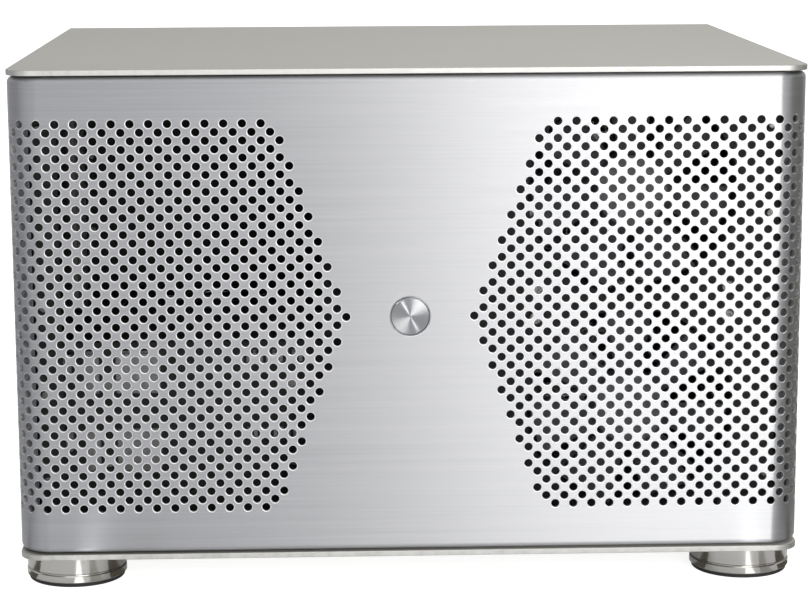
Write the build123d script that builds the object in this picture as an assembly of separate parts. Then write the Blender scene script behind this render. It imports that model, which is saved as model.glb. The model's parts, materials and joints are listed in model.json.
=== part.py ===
from build123d import *
import math
import os

# A small aluminium desktop computer: a wide cube case with its skins, frame, fans, board,
# power supply and drives. Millimetres, +X to the right of someone facing the front,
# +Y to the back, +Z up. The origin is on the floor under the middle of the case.

# ---------------------------------------------------------------- driving dimensions

# Case and skins
case_width = 420.0
case_depth = 340.0
case_height = 278.0
foot_height = 16.0
plate_thickness = 3.0
plate_back_radius = 1.5
plate_edge = 0.35
plate_corner_radius = 13.0
shadow_gap = 1.0
front_corner_radius = 17.0
edge_roll = 3.0
front_sheet = 2.0
front_return = 36.0
front_lip = 12.0
side_sheet = 1.5
side_lip = 6.0
seam = 0.8
side_back_inset = 2.0

# Perforation of the front panel
mesh_hole_radius = 2.25
mesh_pitch_x = 9.7
mesh_pitch_z = 8.94
mesh_half_gap = 33.8
mesh_border = 24.0
mesh_edge = 7.0
mesh_rows_per_step = 3

# Feet
foot_radius = 26.2
foot_ring_radius = 27.0
foot_ring_height = 3.2
foot_ring_edge = 0.45
foot_pad_radius = 25.9
foot_pad_height = 2.4
foot_pad_edge = 0.8
foot_inset_x = 28.0
foot_inset_y = 29.0
foot_recess_radius = 6.0
foot_recess_depth = 4.0
foot_screw_radius = 2.0
foot_screw_head_radius = 4.4
foot_screw_end = 1.5

# Frame
frame_sheet = 1.5
frame_inset = 8.5
rear_recess = 13.5
wall_flange = 8.0
wall_flange_gap = 1.0
floor_flange_height = 15.5
rail_width = 14.5
rail_leg = 14.5
post_leg = 6.0
post_side = 12.0
rivets_per_post = 5
rivet_margin = 30.0
rivet_head_radius = 2.6
rivet_head_height = 1.0
rivet_head_edge = 0.8
rivet_radius = 1.6
rivet_clearance = 0.1
window_side = 14.0
window_inner = 46.0
window_margin = 24.0
window_corner = 6.0

# Snap studs and clips
ball_radius = 2.7
stud_neck_radius = 1.8
stud_foot_radius = 4.0
stud_foot_height = 1.2
post_radius = 3.5
post_neck_length = 2.5
clip_collar_radius = 4.5
clip_collar_height = 2.0
clip_sleeve_radius = 3.9
clip_clearance = 0.1
ball_clearance = 0.2
ball_depth = 0.5
cover_ball_depth = 0.3
stud_inset_y = 16.0
stud_low = 7.5
stud_high = 6.5
cover_stud_inset_x = 8.0
cover_stud_inset_y = 30.0
front_stud_x = 165.0
front_stud_inset_z = 12.0

# Power button
button_radius = 10.25
button_edge = 0.5
button_gap = 0.3
button_travel = 1.8
button_flange_radius = 12.0
button_flange_height = 1.6
button_stem_radius = 3.0
button_clearance = 0.3
stem_end_gap = 1.0
housing_wall = 2.2
housing_length = 18.0
spring_radius = 4.6
spring_wire_radius = 0.4
spring_end_gap = 0.1
spring_turns = 6
switch_size = 13.0
switch_length = 12.0
switch_edge = 1.0
switch_pin_thickness = 0.8
switch_pin_width = 2.4
switch_pin_length = 3.0

# Fans
fan_size = 120.0
fan_depth = 25.0
fan_hole_pitch = 105.0
fan_spacing = 1.0
front_fan_x = 122.0
rear_fan_x = 80.0
rear_fan_z = 192.0
cooler_fan_size = 92.0
cooler_fan_hole_pitch = 82.5
fan_flange = 4.0
fan_bore_wall = 3.0
fan_ring_inset = 0.5
fan_corner = 5.0
fan_strut_width = 3.2
fan_strut_depth = 3.0
fan_hub_share = 0.33
hub_front = 2.0
hub_depth = 18.0
hub_edge = 1.5
hub_wall = 1.8
hub_face = 2.5
blade_count = 7
blade_thickness = 1.8
blade_level = 11.5
blade_root_chord = 0.95
blade_root_angle = 46.0
blade_root_sink = 0.8
blade_tip_chord = 0.58
blade_tip_angle = 27.0
tip_clearance = 1.2
shaft_radius = 1.5
shaft_clearance = 0.08
shaft_end_gap = 2.5
bush_radius = 4.5
bush_front = 6.0
bush_end_wall = 2.0
guard_wire_radius = 0.9
guard_lift = 0.05
guard_eyelet_radius = 4.6
guard_boss_radius = 9.0
guard_ring_shares = (0.28, 0.52, 0.76, 1.0)

# Screws
screw_radius = 1.6
screw_head_radius = 3.0
screw_head_height = 2.0
screw_head_edge = 0.6
screw_socket_share = 0.45
screw_socket_depth = 1.2
fan_screw_radius = 2.0
fan_screw_head_radius = 3.8
fan_screw_length = 10.0
guard_screw_length = 12.0
board_screw_length = 5.5
supply_screw_grip = 4.0
drive_screw_length = 6.0
hole_clearance = 0.15
thread_clearance = 0.1

# Board
board_size = 244.0
board_thickness = 1.6
board_rear_gap = 1.0
board_low_gap = 3.5
tray_front_gap = 22.5
standoff_height = 6.5
standoff_radius = 3.2
standoff_end_wall = 1.0
board_hole_inset = 8.0
board_hole_row = 88.0
board_hole_column = 174.0
board_hole_clearance = 0.3
cpu_from_rear = 69.0
cpu_from_low = 163.0
socket_size = 50.0
socket_height = 4.0
socket_corner = 3.0
processor_size = 37.0
processor_height = 2.0

# Memory
memory_length = 133.0
memory_height = 31.0
memory_pitch = 9.5
memory_count = 4
memory_from_cpu = 59.0
memory_from_top = 9.0
memory_socket_height = 8.0
memory_socket_width = 7.2
memory_socket_end = 4.0
memory_socket_floor = 3.0
memory_card_seat = 3.5
card_thickness = 1.3
card_slot_width = 1.8
card_end_gap = 0.3
spreader_width = 6.4
spreader_low = 6.0
spreader_cap = 1.0
spreader_grooves = 11
groove_start = 12.0
groove_pitch = 10.0
groove_width = 3.0
groove_depth = 2.0

# Sockets and heat sinks on the board
slot_pitch = 20.3
slot_count = 4
slot_low = 12.6
slot_socket_start = 49.0
slot_socket_long = 89.0
slot_socket_short = 25.0
slot_socket_width = 7.5
slot_socket_height = 11.0
slot_socket_wall = 2.0
slot_socket_floor = 4.0
power_socket_depth = 13.0
power_pin_pitch = 4.2
power_pin_pocket = 3.2
power_pin_floor = 3.0
power_socket_wall = 0.8
main_power_y = 10.0
main_power_z = 154.0
processor_power_y = 51.0
processor_power_z = 9.0
drive_socket_count = 4
drive_socket_low = 26.0
drive_socket_front = 1.0
drive_socket_pitch = 17.0
drive_socket_width = 14.0
drive_socket_length = 12.0
drive_socket_height = 8.0
drive_socket_pocket = 6.0
drive_socket_floor = 2.0
drive_socket_wall = 1.4
drive_socket_tongue = 1.2
heatsink_base = 3.0
heatsink_fin = 1.2
chipset_height = 14.0
chipset_size_y = 40.0
chipset_size_z = 35.0
chipset_front = 16.0
chipset_low = 36.0
chipset_fins = 9
regulator_height = 20.0
regulator_size_y = 12.0
regulator_size_z = 85.0
regulator_rear = 29.0
regulator_drop = 45.0
regulator_fins = 18

# Cooler
cooler_base_height = 10.0
cooler_base_y = 40.0
cooler_base_z = 44.0
pipe_count = 4
pipe_radius = 3.0
pipe_clearance = 0.05
pipe_spread = 34.0
pipe_bend = 10.0
pipe_pitch = 10.4
pipe_end = 2.0
fin_count = 23
fin_pitch = 4.0
fin_thickness = 0.6
fin_depth = 50.0
fin_height = 92.0
fin_gap = 24.0
fin_tab_width = 18.0

# Rear openings
port_aperture_x = 44.5
port_aperture_z = 158.5
port_aperture_low = 86.0
port_aperture_side = 8.0
slot_window_x = 100.0
slot_window_z = 14.0
slot_window_side = 13.5
slot_cover_x = 115.0
slot_cover_z = 18.4
slot_cover_sheet = 0.9
slot_cover_overlap = 3.5
slot_cover_corner = 1.5
slot_rib_length = 80.0
slot_rib_width = 7.0
slot_rib_height = 0.9
thumb_offset = 7.0
thumb_radius = 4.0
thumb_height = 6.0
thumb_edge = 0.5
thumb_grooves = 18
thumb_groove_radius = 0.4
thumb_slot_width = 1.2
thumb_slot_depth = 1.0
thumb_length = 5.0
vent_radius = 2.25
vent_columns = 24
vent_rows = 9
vent_drop = 33.5

# Rear ports
port_stand = 1.5
port_depth = 29.0
port_top_margin = 13.0
port_spacing = 3.0
port_pocket_depth = 12.0
port_tongue_thickness = 1.8
port_tongue_side = 1.2
port_tongue_back = 1.0
port_tongue_root = 0.5
port_gap = 0.4
shield_gap = 0.2
shield_inset = 0.5
shield_sheet = 0.6
port_lift = 4.5
port_step = 7.7
usb_width = 13.2
usb_height = 5.6
usb_column = 16.0
display_width = 15.4
display_height = 5.2
display_column = 18.0
monitor_width = 26.0
monitor_height = 8.2
monitor_lift = 6.5
monitor_column = 34.0
network_width = 11.8
network_height = 9.6
network_lift = 22.6
network_column = 17.0
low_port_height = 17.0
monitor_port_height = 13.0
network_port_height = 30.0
tall_port_height = 32.0
jack_count = 3
jack_radius = 1.8
jack_depth = 14.0
jack_width = 14.0
jack_pitch = 10.5
jack_lift = 5.4
jack_gap = 0.3
jack_boss_radius = 3.4
jack_boss_height = 1.0

# Power supply
psu_width = 150.0
psu_height = 86.0
psu_depth = 140.0
psu_side_gap = 11.5
psu_sheet = 1.0
psu_lip = 4.0
psu_opening_side = 11.0
psu_screw_inset = 6.0
psu_screw_drop = 16.0
psu_vent_radius = 2.0
psu_vent_pitch_x = 3.9
psu_vent_pitch_z = 4.2
psu_vent_columns = 17
psu_vent_rows = 16
psu_vent_left = 17.0
psu_vent_low = 11.0
psu_lead_radius = 9.0
psu_lead_x = 24.0
psu_lead_z = 30.0
psu_cover_lip_width = 1.0
psu_cover_lip_gap = 0.2
psu_cover_lip_height = 8.0
psu_cover_lip_inset = 12.0
psu_board_gap = 6.0
psu_board_front = 8.0
psu_board_back = 26.0
psu_sink_inset = 34.0
psu_sink_thickness = 3.0
psu_sink_front = 8.0
psu_sink_length = 80.0
psu_sink_height = 34.0
psu_coil_size = 32.0
psu_coil_depth = 34.0
psu_coil_front = 32.0
psu_coil_height = 30.0
psu_coil_corner = 3.0
psu_can_radius = 9.0
psu_can_height = 32.0
psu_can_front = 20.0
psu_can_back = 92.0
psu_foot_radius = 3.0
psu_foot_inset = 8.0

# Mains inlet and switch
inlet_x = 28.0
inlet_z = 38.0
inlet_width = 24.4
inlet_height = 16.4
inlet_depth = 17.0
inlet_wall = 1.5
inlet_floor = 3.4
inlet_corner = 4.0
inlet_flange = 1.4
inlet_flange_side = 3.3
inlet_flange_corner = 3.0
inlet_hole_gap = 0.2
inlet_pin_width = 2.0
inlet_pin_height = 4.0
inlet_pin_pitch = 7.0
inlet_pin_drop = 2.2
inlet_earth_lift = 1.8
inlet_pin_inset = 1.0
rocker_x = 58.0
rocker_width = 10.0
rocker_height = 15.0
rocker_tilt = 9.0
rocker_gap = 0.4
rocker_depth = 3.5
rocker_waist = 2.5
rocker_middle = 2.8
rocker_tip = 2.2
rocker_end_gap = 0.3
rocker_pin_radius = 0.9
rocker_pin_length = 1.1
rocker_pin_clearance = 0.1
rocker_pin_depth = 2.6
switch_frame_wall = 1.0
switch_frame_depth = 14.0
switch_frame_floor = 1.5
switch_flange_side = 3.0
switch_flange_corner = 1.0
switch_hole_gap = 0.2

# Drives
drive_length = 147.0
drive_width = 101.6
drive_height = 26.1
drive_count = 2
drive_pitch = 43.5
drive_low = 31.5
drive_edge = 2.0
drive_lid_height = 3.0
drive_lid_inset_x = 4.0
drive_lid_inset_y = 3.0
drive_lid_corner = 8.0
drive_pan_depth = 1.6
drive_pan_inset_x = 6.0
drive_pan_inset_y = 5.0
drive_pan_far = 30.0
drive_plug_depth = 6.0
drive_plug_width = 36.0
drive_plug_inset = 12.0
drive_plug_low = 1.5
drive_plug_height = 5.0
drive_tongue = 1.2
drive_screw_z = 6.4
drive_screw_left = 28.5
drive_screw_right = 130.1
cage_gap = 9.0
cage_side_gap = 5.5
cage_overhang = 3.0
cage_head = 2.4
cage_foot = 10.0
cage_outer_window_x = 2.0
cage_outer_window_width = 7.0
cage_outer_window_height = 13.0
cage_middle_window_x = 15.5
cage_middle_window_width = 8.5
cage_inner_window_x = 33.0
cage_inner_window_width = 24.5
cage_window_height = 24.0
cage_window_margin = 1.0
cage_window_corner = 1.5
cage_slot_x = 101.0
cage_slot_width = 2.0
cage_slot_pitch = 3.6
cage_slot_count = 10
cage_slot_height = 7.0

# How far a cutter runs past the face that it cuts
past = 1.0

# ---------------------------------------------------------------- places worked out from them

half_width = case_width / 2
front_y = -case_depth / 2
back_y = case_depth / 2
base_high = foot_height + plate_thickness
cover_low = case_height - plate_thickness
skin_low = base_high + shadow_gap
skin_high = cover_low - shadow_gap
mid_z = (skin_low + skin_high) / 2
bulkhead_front = front_y + front_return
bulkhead_back = bulkhead_front + frame_sheet
wall_back = back_y - rear_recess
wall_front = wall_back - frame_sheet
frame_half = half_width - frame_inset
frame_inner = frame_half - frame_sheet
floor_top = base_high + frame_sheet
rail_under = cover_low - frame_sheet
side_front = bulkhead_front + seam
side_back = back_y - side_back_inset
panel_inner = half_width - side_sheet
clip_bore_radius = ball_radius + ball_clearance
clip_hole_radius = clip_sleeve_radius + clip_clearance
rivet_x = frame_inner - post_leg / 2

tray_inner = frame_inner - frame_sheet
tray_front = bulkhead_back + tray_front_gap
tray_back = wall_front - post_side
board_back = tray_inner - standoff_height
board_face = board_back - board_thickness
board_rear = wall_front - board_rear_gap
board_front = board_rear - board_size
board_low = floor_top + board_low_gap
board_high = board_low + board_size
cpu_y = board_rear - cpu_from_rear
cpu_z = board_low + cpu_from_low
processor_face = board_face - socket_height - processor_height
cooler_face = processor_face - cooler_base_height
fin_start = cooler_face - fin_gap
fin_last = fin_start - fin_pitch * (fin_count - 1)
fin_back = cpu_y + fin_depth / 2
fin_front = fin_back - fin_depth
cooler_fan_x = (fin_start + fin_last) / 2
slot_heights = [floor_top + slot_low + slot_pitch * n for n in range(slot_count)]
memory_low = board_high - memory_from_top - memory_length
memory_rows = [cpu_y - memory_from_cpu - memory_pitch * n for n in range(memory_count)]

psu_left = -frame_half + psu_side_gap
psu_right = psu_left + psu_width
psu_low = floor_top + frame_sheet
psu_high = psu_low + psu_height
psu_front = wall_front - psu_depth
psu_fan_x = (psu_left + psu_right) / 2
psu_fan_y = (psu_front + wall_front) / 2

cage_front = bulkhead_back + cage_gap
cage_back = cage_front + drive_width + 2 * frame_sheet
cage_left = -frame_half + cage_side_gap
cage_right = cage_left + drive_length + 2 * cage_overhang
drive_left = cage_left + cage_overhang
drive_lows = [floor_top + drive_low + drive_pitch * n for n in range(drive_count)]
cage_top = drive_lows[-1] + drive_height + cage_head + frame_sheet

fan_heights = [mid_z - (fan_size + fan_spacing) / 2, mid_z + (fan_size + fan_spacing) / 2]
port_right = frame_half - port_aperture_side
port_left = port_right - port_aperture_x
port_low = floor_top + port_aperture_low
port_high = port_low + port_aperture_z
port_top = port_high - port_top_margin
port_face = wall_back + port_stand
port_back = port_face - port_depth
slot_right = frame_half - slot_window_side
slot_left = slot_right - slot_window_x
thumb_x = slot_left - thumb_offset
inlet_cx = psu_right - inlet_x
inlet_cz = psu_low + inlet_z
rocker_cx = psu_right - rocker_x
rocker_y = wall_front - rocker_pin_depth


# ---------------------------------------------------------------- small tools

def span(middle, width):
    """The low and high value of a width laid about its middle."""
    return middle - width / 2, middle + width / 2


def block(x, y, z):
    """A box between the low and high value given on each axis."""
    centre = Pos((x[0] + x[1]) / 2, (y[0] + y[1]) / 2, (z[0] + z[1]) / 2)
    return centre * Box(x[1] - x[0], y[1] - y[0], z[1] - z[0])


def rod(radius, start, direction, length):
    """A cylinder that starts at a point and runs along a direction."""
    place = Plane(origin=start, z_dir=direction)
    return place * Cylinder(radius, length, align=(Align.CENTER, Align.CENTER, Align.MIN))


def drill(radius, point, direction, depth=4 * frame_sheet):
    """A cylinder centred on a point, for cutting a hole through a sheet."""
    middle = Vector(point) - Vector(direction) * (depth / 2)
    return rod(radius, middle, direction, depth)


def rounded(solid, axis, radius):
    """The solid with its edges along one axis rounded."""
    return fillet(solid.edges().filter_by(axis), radius)


def mirrored(solid):
    """The same solid on the other side of the case's middle plane."""
    return mirror(solid, about=Plane.YZ)


def both_sides(solid):
    return [solid, mirrored(solid)]


def grid(centre, pitch):
    """The four corners of a square of holes."""
    return [(centre[0] + a * pitch / 2, centre[1] + b * pitch / 2) for a in (-1, 1) for b in (-1, 1)]


def screw(seat, direction, length, radius=screw_radius, head=screw_head_radius):
    """A pan-head screw: its head stands on the seat, its shank runs along the direction."""
    towards = Vector(direction)
    top = Vector(seat) - towards * screw_head_height
    cap = rod(head, top, direction, screw_head_height)
    cap = chamfer(cap.edges().sort_by(lambda e: e.center().dot(towards))[0], screw_head_edge)
    socket = rod(head * screw_socket_share, top, direction, screw_socket_depth)
    return cap + rod(radius, seat, direction, length) - socket


# ---------------------------------------------------------------- skins

def rolled_block(half, y, z, corner, roll):
    """A block with round vertical front corners and rolled top and bottom edges, flat at the back."""
    body = block((-half, half), y, z)
    body = fillet(body.edges().filter_by(Axis.Z).group_by(Axis.Y)[0], corner)
    faces = body.faces().sort_by(Axis.Z)
    rims = faces[0].edges() + faces[-1].edges()
    return fillet([edge for edge in rims if edge.center().Y < y[1] - roll / 2], roll)


def sheet_point(distance):
    """Where a distance along the front sheet, from its middle, lies: x, y and the outward direction."""
    flat = half_width - front_corner_radius
    bend = front_corner_radius * math.pi / 2
    if distance <= flat:
        return distance, front_y, (0, -1)
    if distance < flat + bend:
        turn = (distance - flat) / front_corner_radius
        x = flat + front_corner_radius * math.sin(turn)
        y = front_y + front_corner_radius * (1 - math.cos(turn))
        return x, y, (math.sin(turn), -math.cos(turn))
    return half_width, front_y + front_corner_radius + distance - flat - bend, (1, 0)


def mesh_holes():
    """Cutters for the perforation on the right half: staggered rows whose inner edge is a chevron."""
    bend = front_corner_radius * math.pi / 2
    sheet_length = half_width + front_return - 2 * front_corner_radius + bend
    columns = int((sheet_length - mesh_edge - mesh_half_gap) / (mesh_pitch_x / 2)) + 1
    rows = int(((skin_high - skin_low) / 2 - mesh_border) / (mesh_pitch_z / 2))
    cutters = []
    for column in range(columns):
        x, y, out = sheet_point(mesh_half_gap + column * mesh_pitch_x / 2)
        for row in range(-rows, rows + 1):
            if (column + row) % 2 == 0 and column * mesh_rows_per_step >= abs(row):
                centre = (x, y, mid_z + row * mesh_pitch_z / 2)
                cutters.append(drill(mesh_hole_radius, centre, (out[0], out[1], 0), 4 * front_sheet))
    return cutters


def make_front_panel():
    outer = rolled_block(
        half_width, (front_y, bulkhead_front), (skin_low, skin_high), front_corner_radius, edge_roll
    )
    inner = rolled_block(
        half_width - front_sheet,
        (front_y + front_sheet, bulkhead_front + past),
        (skin_low + front_sheet, skin_high - front_sheet),
        front_corner_radius - front_sheet,
        edge_roll - front_sheet,
    )
    lip_x = half_width - front_lip
    mouth_y = (front_y + front_lip, bulkhead_front + past)
    mouth = block((-lip_x, lip_x), mouth_y, (skin_low - past, skin_high + past))
    button_hole = drill(button_radius + button_gap, (0, front_y, mid_z), (0, 1, 0), 4 * front_sheet)
    right = mesh_holes()
    left = [mirrored(cutter) for cutter in right]
    return outer - inner - mouth - button_hole - (right + left)


def make_side_panel():
    """The right side skin: a sheet with rolled top and bottom edges and lips all round."""
    lip_x = half_width - side_lip - side_sheet
    outer = block((lip_x, half_width), (side_front, side_back), (skin_low, skin_high))
    outer = fillet(outer.edges().filter_by(Axis.Y).group_by(Axis.X)[-1], edge_roll)
    inner = block(
        (lip_x - past, panel_inner),
        (side_front + side_sheet, side_back - side_sheet),
        (skin_low + side_sheet, skin_high - side_sheet),
    )
    inner = fillet(inner.edges().filter_by(Axis.Y).group_by(Axis.X)[-1], edge_roll - side_sheet)
    return outer - inner


def plate(z_low, z_high):
    """The outline shared by the top cover and the base plate, with round front corners."""
    body = block((-half_width, half_width), (front_y, back_y), (z_low, z_high))
    body = fillet(body.edges().filter_by(Axis.Z).group_by(Axis.Y)[0], plate_corner_radius)
    body = fillet(body.edges().filter_by(Axis.Z).group_by(Axis.Y)[-1], plate_back_radius)
    rims = body.faces().sort_by(Axis.Z)
    return chamfer(rims[0].edges() + rims[-1].edges(), plate_edge)


def ball_stud(seat, direction, reach, root_radius=0.0, root_length=0.0):
    """A stud on a skin, turned about its own axis: a foot, a neck and a ball centred at the reach."""
    shoulder = reach - math.sqrt(ball_radius ** 2 - stud_neck_radius ** 2)
    root = [(root_radius, 0), (root_radius, root_length)] if root_length else []
    with BuildPart() as turned:
        with BuildSketch(Plane.XZ):
            with BuildLine():
                Polyline(
                    (0, reach + ball_radius),
                    (0, 0),
                    *root,
                    (stud_neck_radius, root_length),
                    (stud_neck_radius, shoulder),
                )
                ThreePointArc((stud_neck_radius, shoulder), (ball_radius, reach), (0, reach + ball_radius))
            make_face()
        revolve(axis=Axis.Z)
    return Plane(origin=seat, z_dir=direction) * turned.part


def snap_clip(seat, direction):
    """A plastic ring: its collar stands on the seat, its sleeve fills the hole behind the seat."""
    towards = Vector(direction)
    back = Vector(seat) - towards * frame_sheet
    ring = rod(clip_collar_radius, seat, direction, clip_collar_height)
    ring += rod(clip_sleeve_radius, back, direction, frame_sheet)
    bore_length = frame_sheet + clip_collar_height + 2 * past
    return ring - rod(clip_bore_radius, back - towards * past, direction, bore_length)


side_stud_places = [
    (y, z)
    for y in (bulkhead_back + stud_inset_y, wall_front - stud_inset_y)
    for z in (floor_top + stud_low, rail_under - stud_high)
]
cover_stud_places = [
    (x, y)
    for x in (-frame_half + cover_stud_inset_x, frame_half - cover_stud_inset_x)
    for y in (bulkhead_back + cover_stud_inset_y, wall_front - cover_stud_inset_y)
]
front_stud_places = [
    (x, z)
    for x in (-front_stud_x, front_stud_x)
    for z in (skin_low + front_stud_inset_z, skin_high - front_stud_inset_z)
]


def make_side_studs():
    reach = panel_inner - frame_half - clip_collar_height + ball_depth
    return [
        ball_stud((panel_inner, y, z), (-1, 0, 0), reach, stud_foot_radius, stud_foot_height)
        for y, z in side_stud_places
    ]


def make_cover_studs():
    reach = frame_sheet + clip_collar_height / 2 + cover_ball_depth
    return [ball_stud((x, y, cover_low), (0, 0, -1), reach) for x, y in cover_stud_places]


def make_front_studs():
    inner_face = front_y + front_sheet
    reach = bulkhead_front - clip_collar_height + ball_depth - inner_face
    post_length = reach - ball_radius - post_neck_length
    return [
        ball_stud((x, inner_face, z), (0, 1, 0), reach, post_radius, post_length)
        for x, z in front_stud_places
    ]


def make_snap_clips():
    side = [snap_clip((frame_half, y, z), (1, 0, 0)) for y, z in side_stud_places]
    cover = [snap_clip((x, y, rail_under), (0, 0, -1)) for x, y in cover_stud_places]
    front = [snap_clip((x, bulkhead_front, z), (0, -1, 0)) for x, z in front_stud_places]
    return side + [mirrored(clip) for clip in side] + cover + front


# ---------------------------------------------------------------- power button

button_flange_front = front_y + front_sheet + button_clearance
housing_front = front_y + front_sheet
housing_back = housing_front + housing_length
housing_floor = housing_back - housing_wall
stem_end = housing_back - stem_end_gap


def make_power_button():
    cap = rod(button_radius, (0, front_y, mid_z), (0, 1, 0), button_flange_front - front_y)
    cap = chamfer(cap.edges().sort_by(Axis.Y)[0], button_edge)
    seat = (0, button_flange_front, mid_z)
    flange = rod(button_flange_radius, seat, (0, 1, 0), button_flange_height)
    return cap + flange + rod(button_stem_radius, seat, (0, 1, 0), stem_end - button_flange_front)


def make_button_housing():
    inner = button_flange_radius + button_clearance
    tube = rod(inner + housing_wall, (0, housing_front, mid_z), (0, 1, 0), housing_length)
    tube -= rod(inner, (0, housing_front - past, mid_z), (0, 1, 0), housing_length - housing_wall + past)
    stem_hole_radius = button_stem_radius + button_clearance
    return tube - drill(stem_hole_radius, (0, housing_floor, mid_z), (0, 1, 0), 4 * housing_wall)


def make_button_spring():
    end = spring_wire_radius + spring_end_gap
    start = button_flange_front + button_flange_height + end
    height = housing_floor - end - start
    coil = Helix(pitch=height / spring_turns, height=height, radius=spring_radius)
    profile = Plane(origin=coil @ 0, z_dir=coil % 0) * Circle(spring_wire_radius)
    wire = sweep(profile, path=coil)
    return Plane(origin=(0, start, mid_z), z_dir=(0, 1, 0)) * wire


def make_power_switch():
    end = housing_back + switch_length
    body = block(span(0, switch_size), (housing_back, end), span(mid_z, switch_size))
    body = chamfer(body.edges().filter_by(Axis.Y), switch_edge)
    pocket = stem_end + button_travel + button_clearance - housing_back
    body -= drill(button_stem_radius + button_clearance, (0, housing_back, mid_z), (0, 1, 0), 2 * pocket)
    pin_y = (end - switch_edge, end + switch_pin_length)
    for x in span(0, switch_size / 2):
        body += block(span(x, switch_pin_thickness), pin_y, span(mid_z, switch_pin_width))
    return body


# ---------------------------------------------------------------- base and feet

foot_places = [
    (x, y)
    for x in (-half_width + foot_inset_x, half_width - foot_inset_x)
    for y in (front_y + foot_inset_y, back_y - foot_inset_y)
]
foot_hole_radius = foot_screw_radius + hole_clearance


def make_base_plate():
    depth = 3 * plate_thickness
    holes = [drill(foot_hole_radius, (x, y, foot_height), (0, 0, 1), depth) for x, y in foot_places]
    return plate(foot_height, base_high) - holes


def make_foot(x, y):
    ring_top = foot_pad_height + foot_ring_height
    ring = rod(foot_ring_radius, (x, y, foot_pad_height), (0, 0, 1), foot_ring_height)
    ring = chamfer(ring.edges().filter_by(GeomType.CIRCLE), foot_ring_edge)
    body = ring + rod(foot_radius, (x, y, ring_top), (0, 0, 1), foot_height - ring_top)
    body -= rod(foot_recess_radius, (x, y, foot_pad_height), (0, 0, 1), foot_recess_depth)
    return body - drill(foot_hole_radius, (x, y, foot_height / 2), (0, 0, 1), 2 * foot_height)


def make_foot_pad(x, y):
    pad = rod(foot_pad_radius, (x, y, 0), (0, 0, 1), foot_pad_height)
    pad = fillet(pad.edges().sort_by(Axis.Z)[0], foot_pad_edge)
    return pad - drill(foot_recess_radius, (x, y, 0), (0, 0, 1), 4 * foot_pad_height)


def make_foot_screw(x, y):
    seat = foot_pad_height + foot_recess_depth
    length = floor_top + foot_screw_end - seat
    return screw((x, y, seat), (0, 0, 1), length, foot_screw_radius, foot_screw_head_radius)


# ---------------------------------------------------------------- frame

rivet_hole_radius = rivet_radius + rivet_clearance
fan_hole_radius = fan_screw_radius + hole_clearance
screw_hole_radius = screw_radius + hole_clearance
fan_opening_radius = fan_size / 2 - fan_bore_wall
air_window_x = (-frame_half + window_side, -window_inner)
air_window_z = (floor_top + window_margin, rail_under - window_margin)


def make_chassis_floor():
    pan = block((-frame_half, frame_half), (bulkhead_front, wall_back), (base_high, floor_top))
    wing_z = (base_high, floor_top + floor_flange_height)
    wing = block((frame_inner, frame_half), (bulkhead_back, wall_front), wing_z)
    pan = pan + both_sides(wing)
    holes = [drill(foot_hole_radius, (x, y, floor_top), (0, 0, 1)) for x, y in foot_places]
    for y, z in side_stud_places:
        if z < mid_z:
            holes += both_sides(drill(clip_hole_radius, (frame_half, y, z), (1, 0, 0)))
    return pan - holes


def wall_blank(y, flange_y):
    """A frame wall with a top and a bottom flange turned to one side of it."""
    body = block((-frame_half, frame_half), y, (floor_top, cover_low))
    flange_x = span(0, 2 * (frame_half - rail_width - wall_flange_gap))
    for z in ((floor_top, floor_top + frame_sheet), (rail_under, cover_low)):
        body += block(flange_x, flange_y, z)
    return body


def rivet_heights():
    """Heights of the rivets up each corner post."""
    low = floor_top + rivet_margin
    step = (rail_under - rivet_margin - low) / (rivets_per_post - 1)
    return [low + step * n for n in range(rivets_per_post)]


def make_front_bulkhead():
    body = wall_blank((bulkhead_front, bulkhead_back), (bulkhead_back, bulkhead_back + wall_flange))
    cuts = []
    for z in fan_heights:
        cuts.append(drill(fan_opening_radius, (front_fan_x, bulkhead_front, z), (0, 1, 0)))
        for x, hole_z in grid((front_fan_x, z), fan_hole_pitch):
            cuts.append(drill(fan_hole_radius, (x, bulkhead_front, hole_z), (0, 1, 0)))
    for x, z in front_stud_places:
        cuts.append(drill(clip_hole_radius, (x, bulkhead_front, z), (0, 1, 0)))
    for z in rivet_heights():
        cuts += both_sides(drill(rivet_hole_radius, (rivet_x, bulkhead_front, z), (0, 1, 0)))
    window = block(air_window_x, (bulkhead_front - past, bulkhead_back + past), air_window_z)
    cuts.append(rounded(window, Axis.Y, window_corner))
    return body - cuts


def psu_screw_places():
    """The four screws that hold the power supply to the rear wall, one of them set in from its corner."""
    left = psu_left + psu_screw_inset
    right = psu_right - psu_screw_inset
    low = psu_low + psu_screw_inset
    high = psu_high - psu_screw_inset
    return [(left, psu_low + psu_screw_drop), (right, low), (left, high), (right, psu_high - psu_screw_drop)]


def vent_holes():
    """Cutters for the strip of staggered round vents high up in the rear wall."""
    first_x = (psu_left + psu_right) / 2 - (vent_columns - 1) * mesh_pitch_x / 4
    first_z = rail_under - vent_drop - (vent_rows - 1) * mesh_pitch_z / 4
    places = [
        (first_x + column * mesh_pitch_x / 2, wall_front, first_z + row * mesh_pitch_z / 2)
        for column in range(vent_columns)
        for row in range(vent_rows)
        if (column + row) % 2 == 0
    ]
    return [drill(vent_radius, place, (0, 1, 0)) for place in places]


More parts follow.
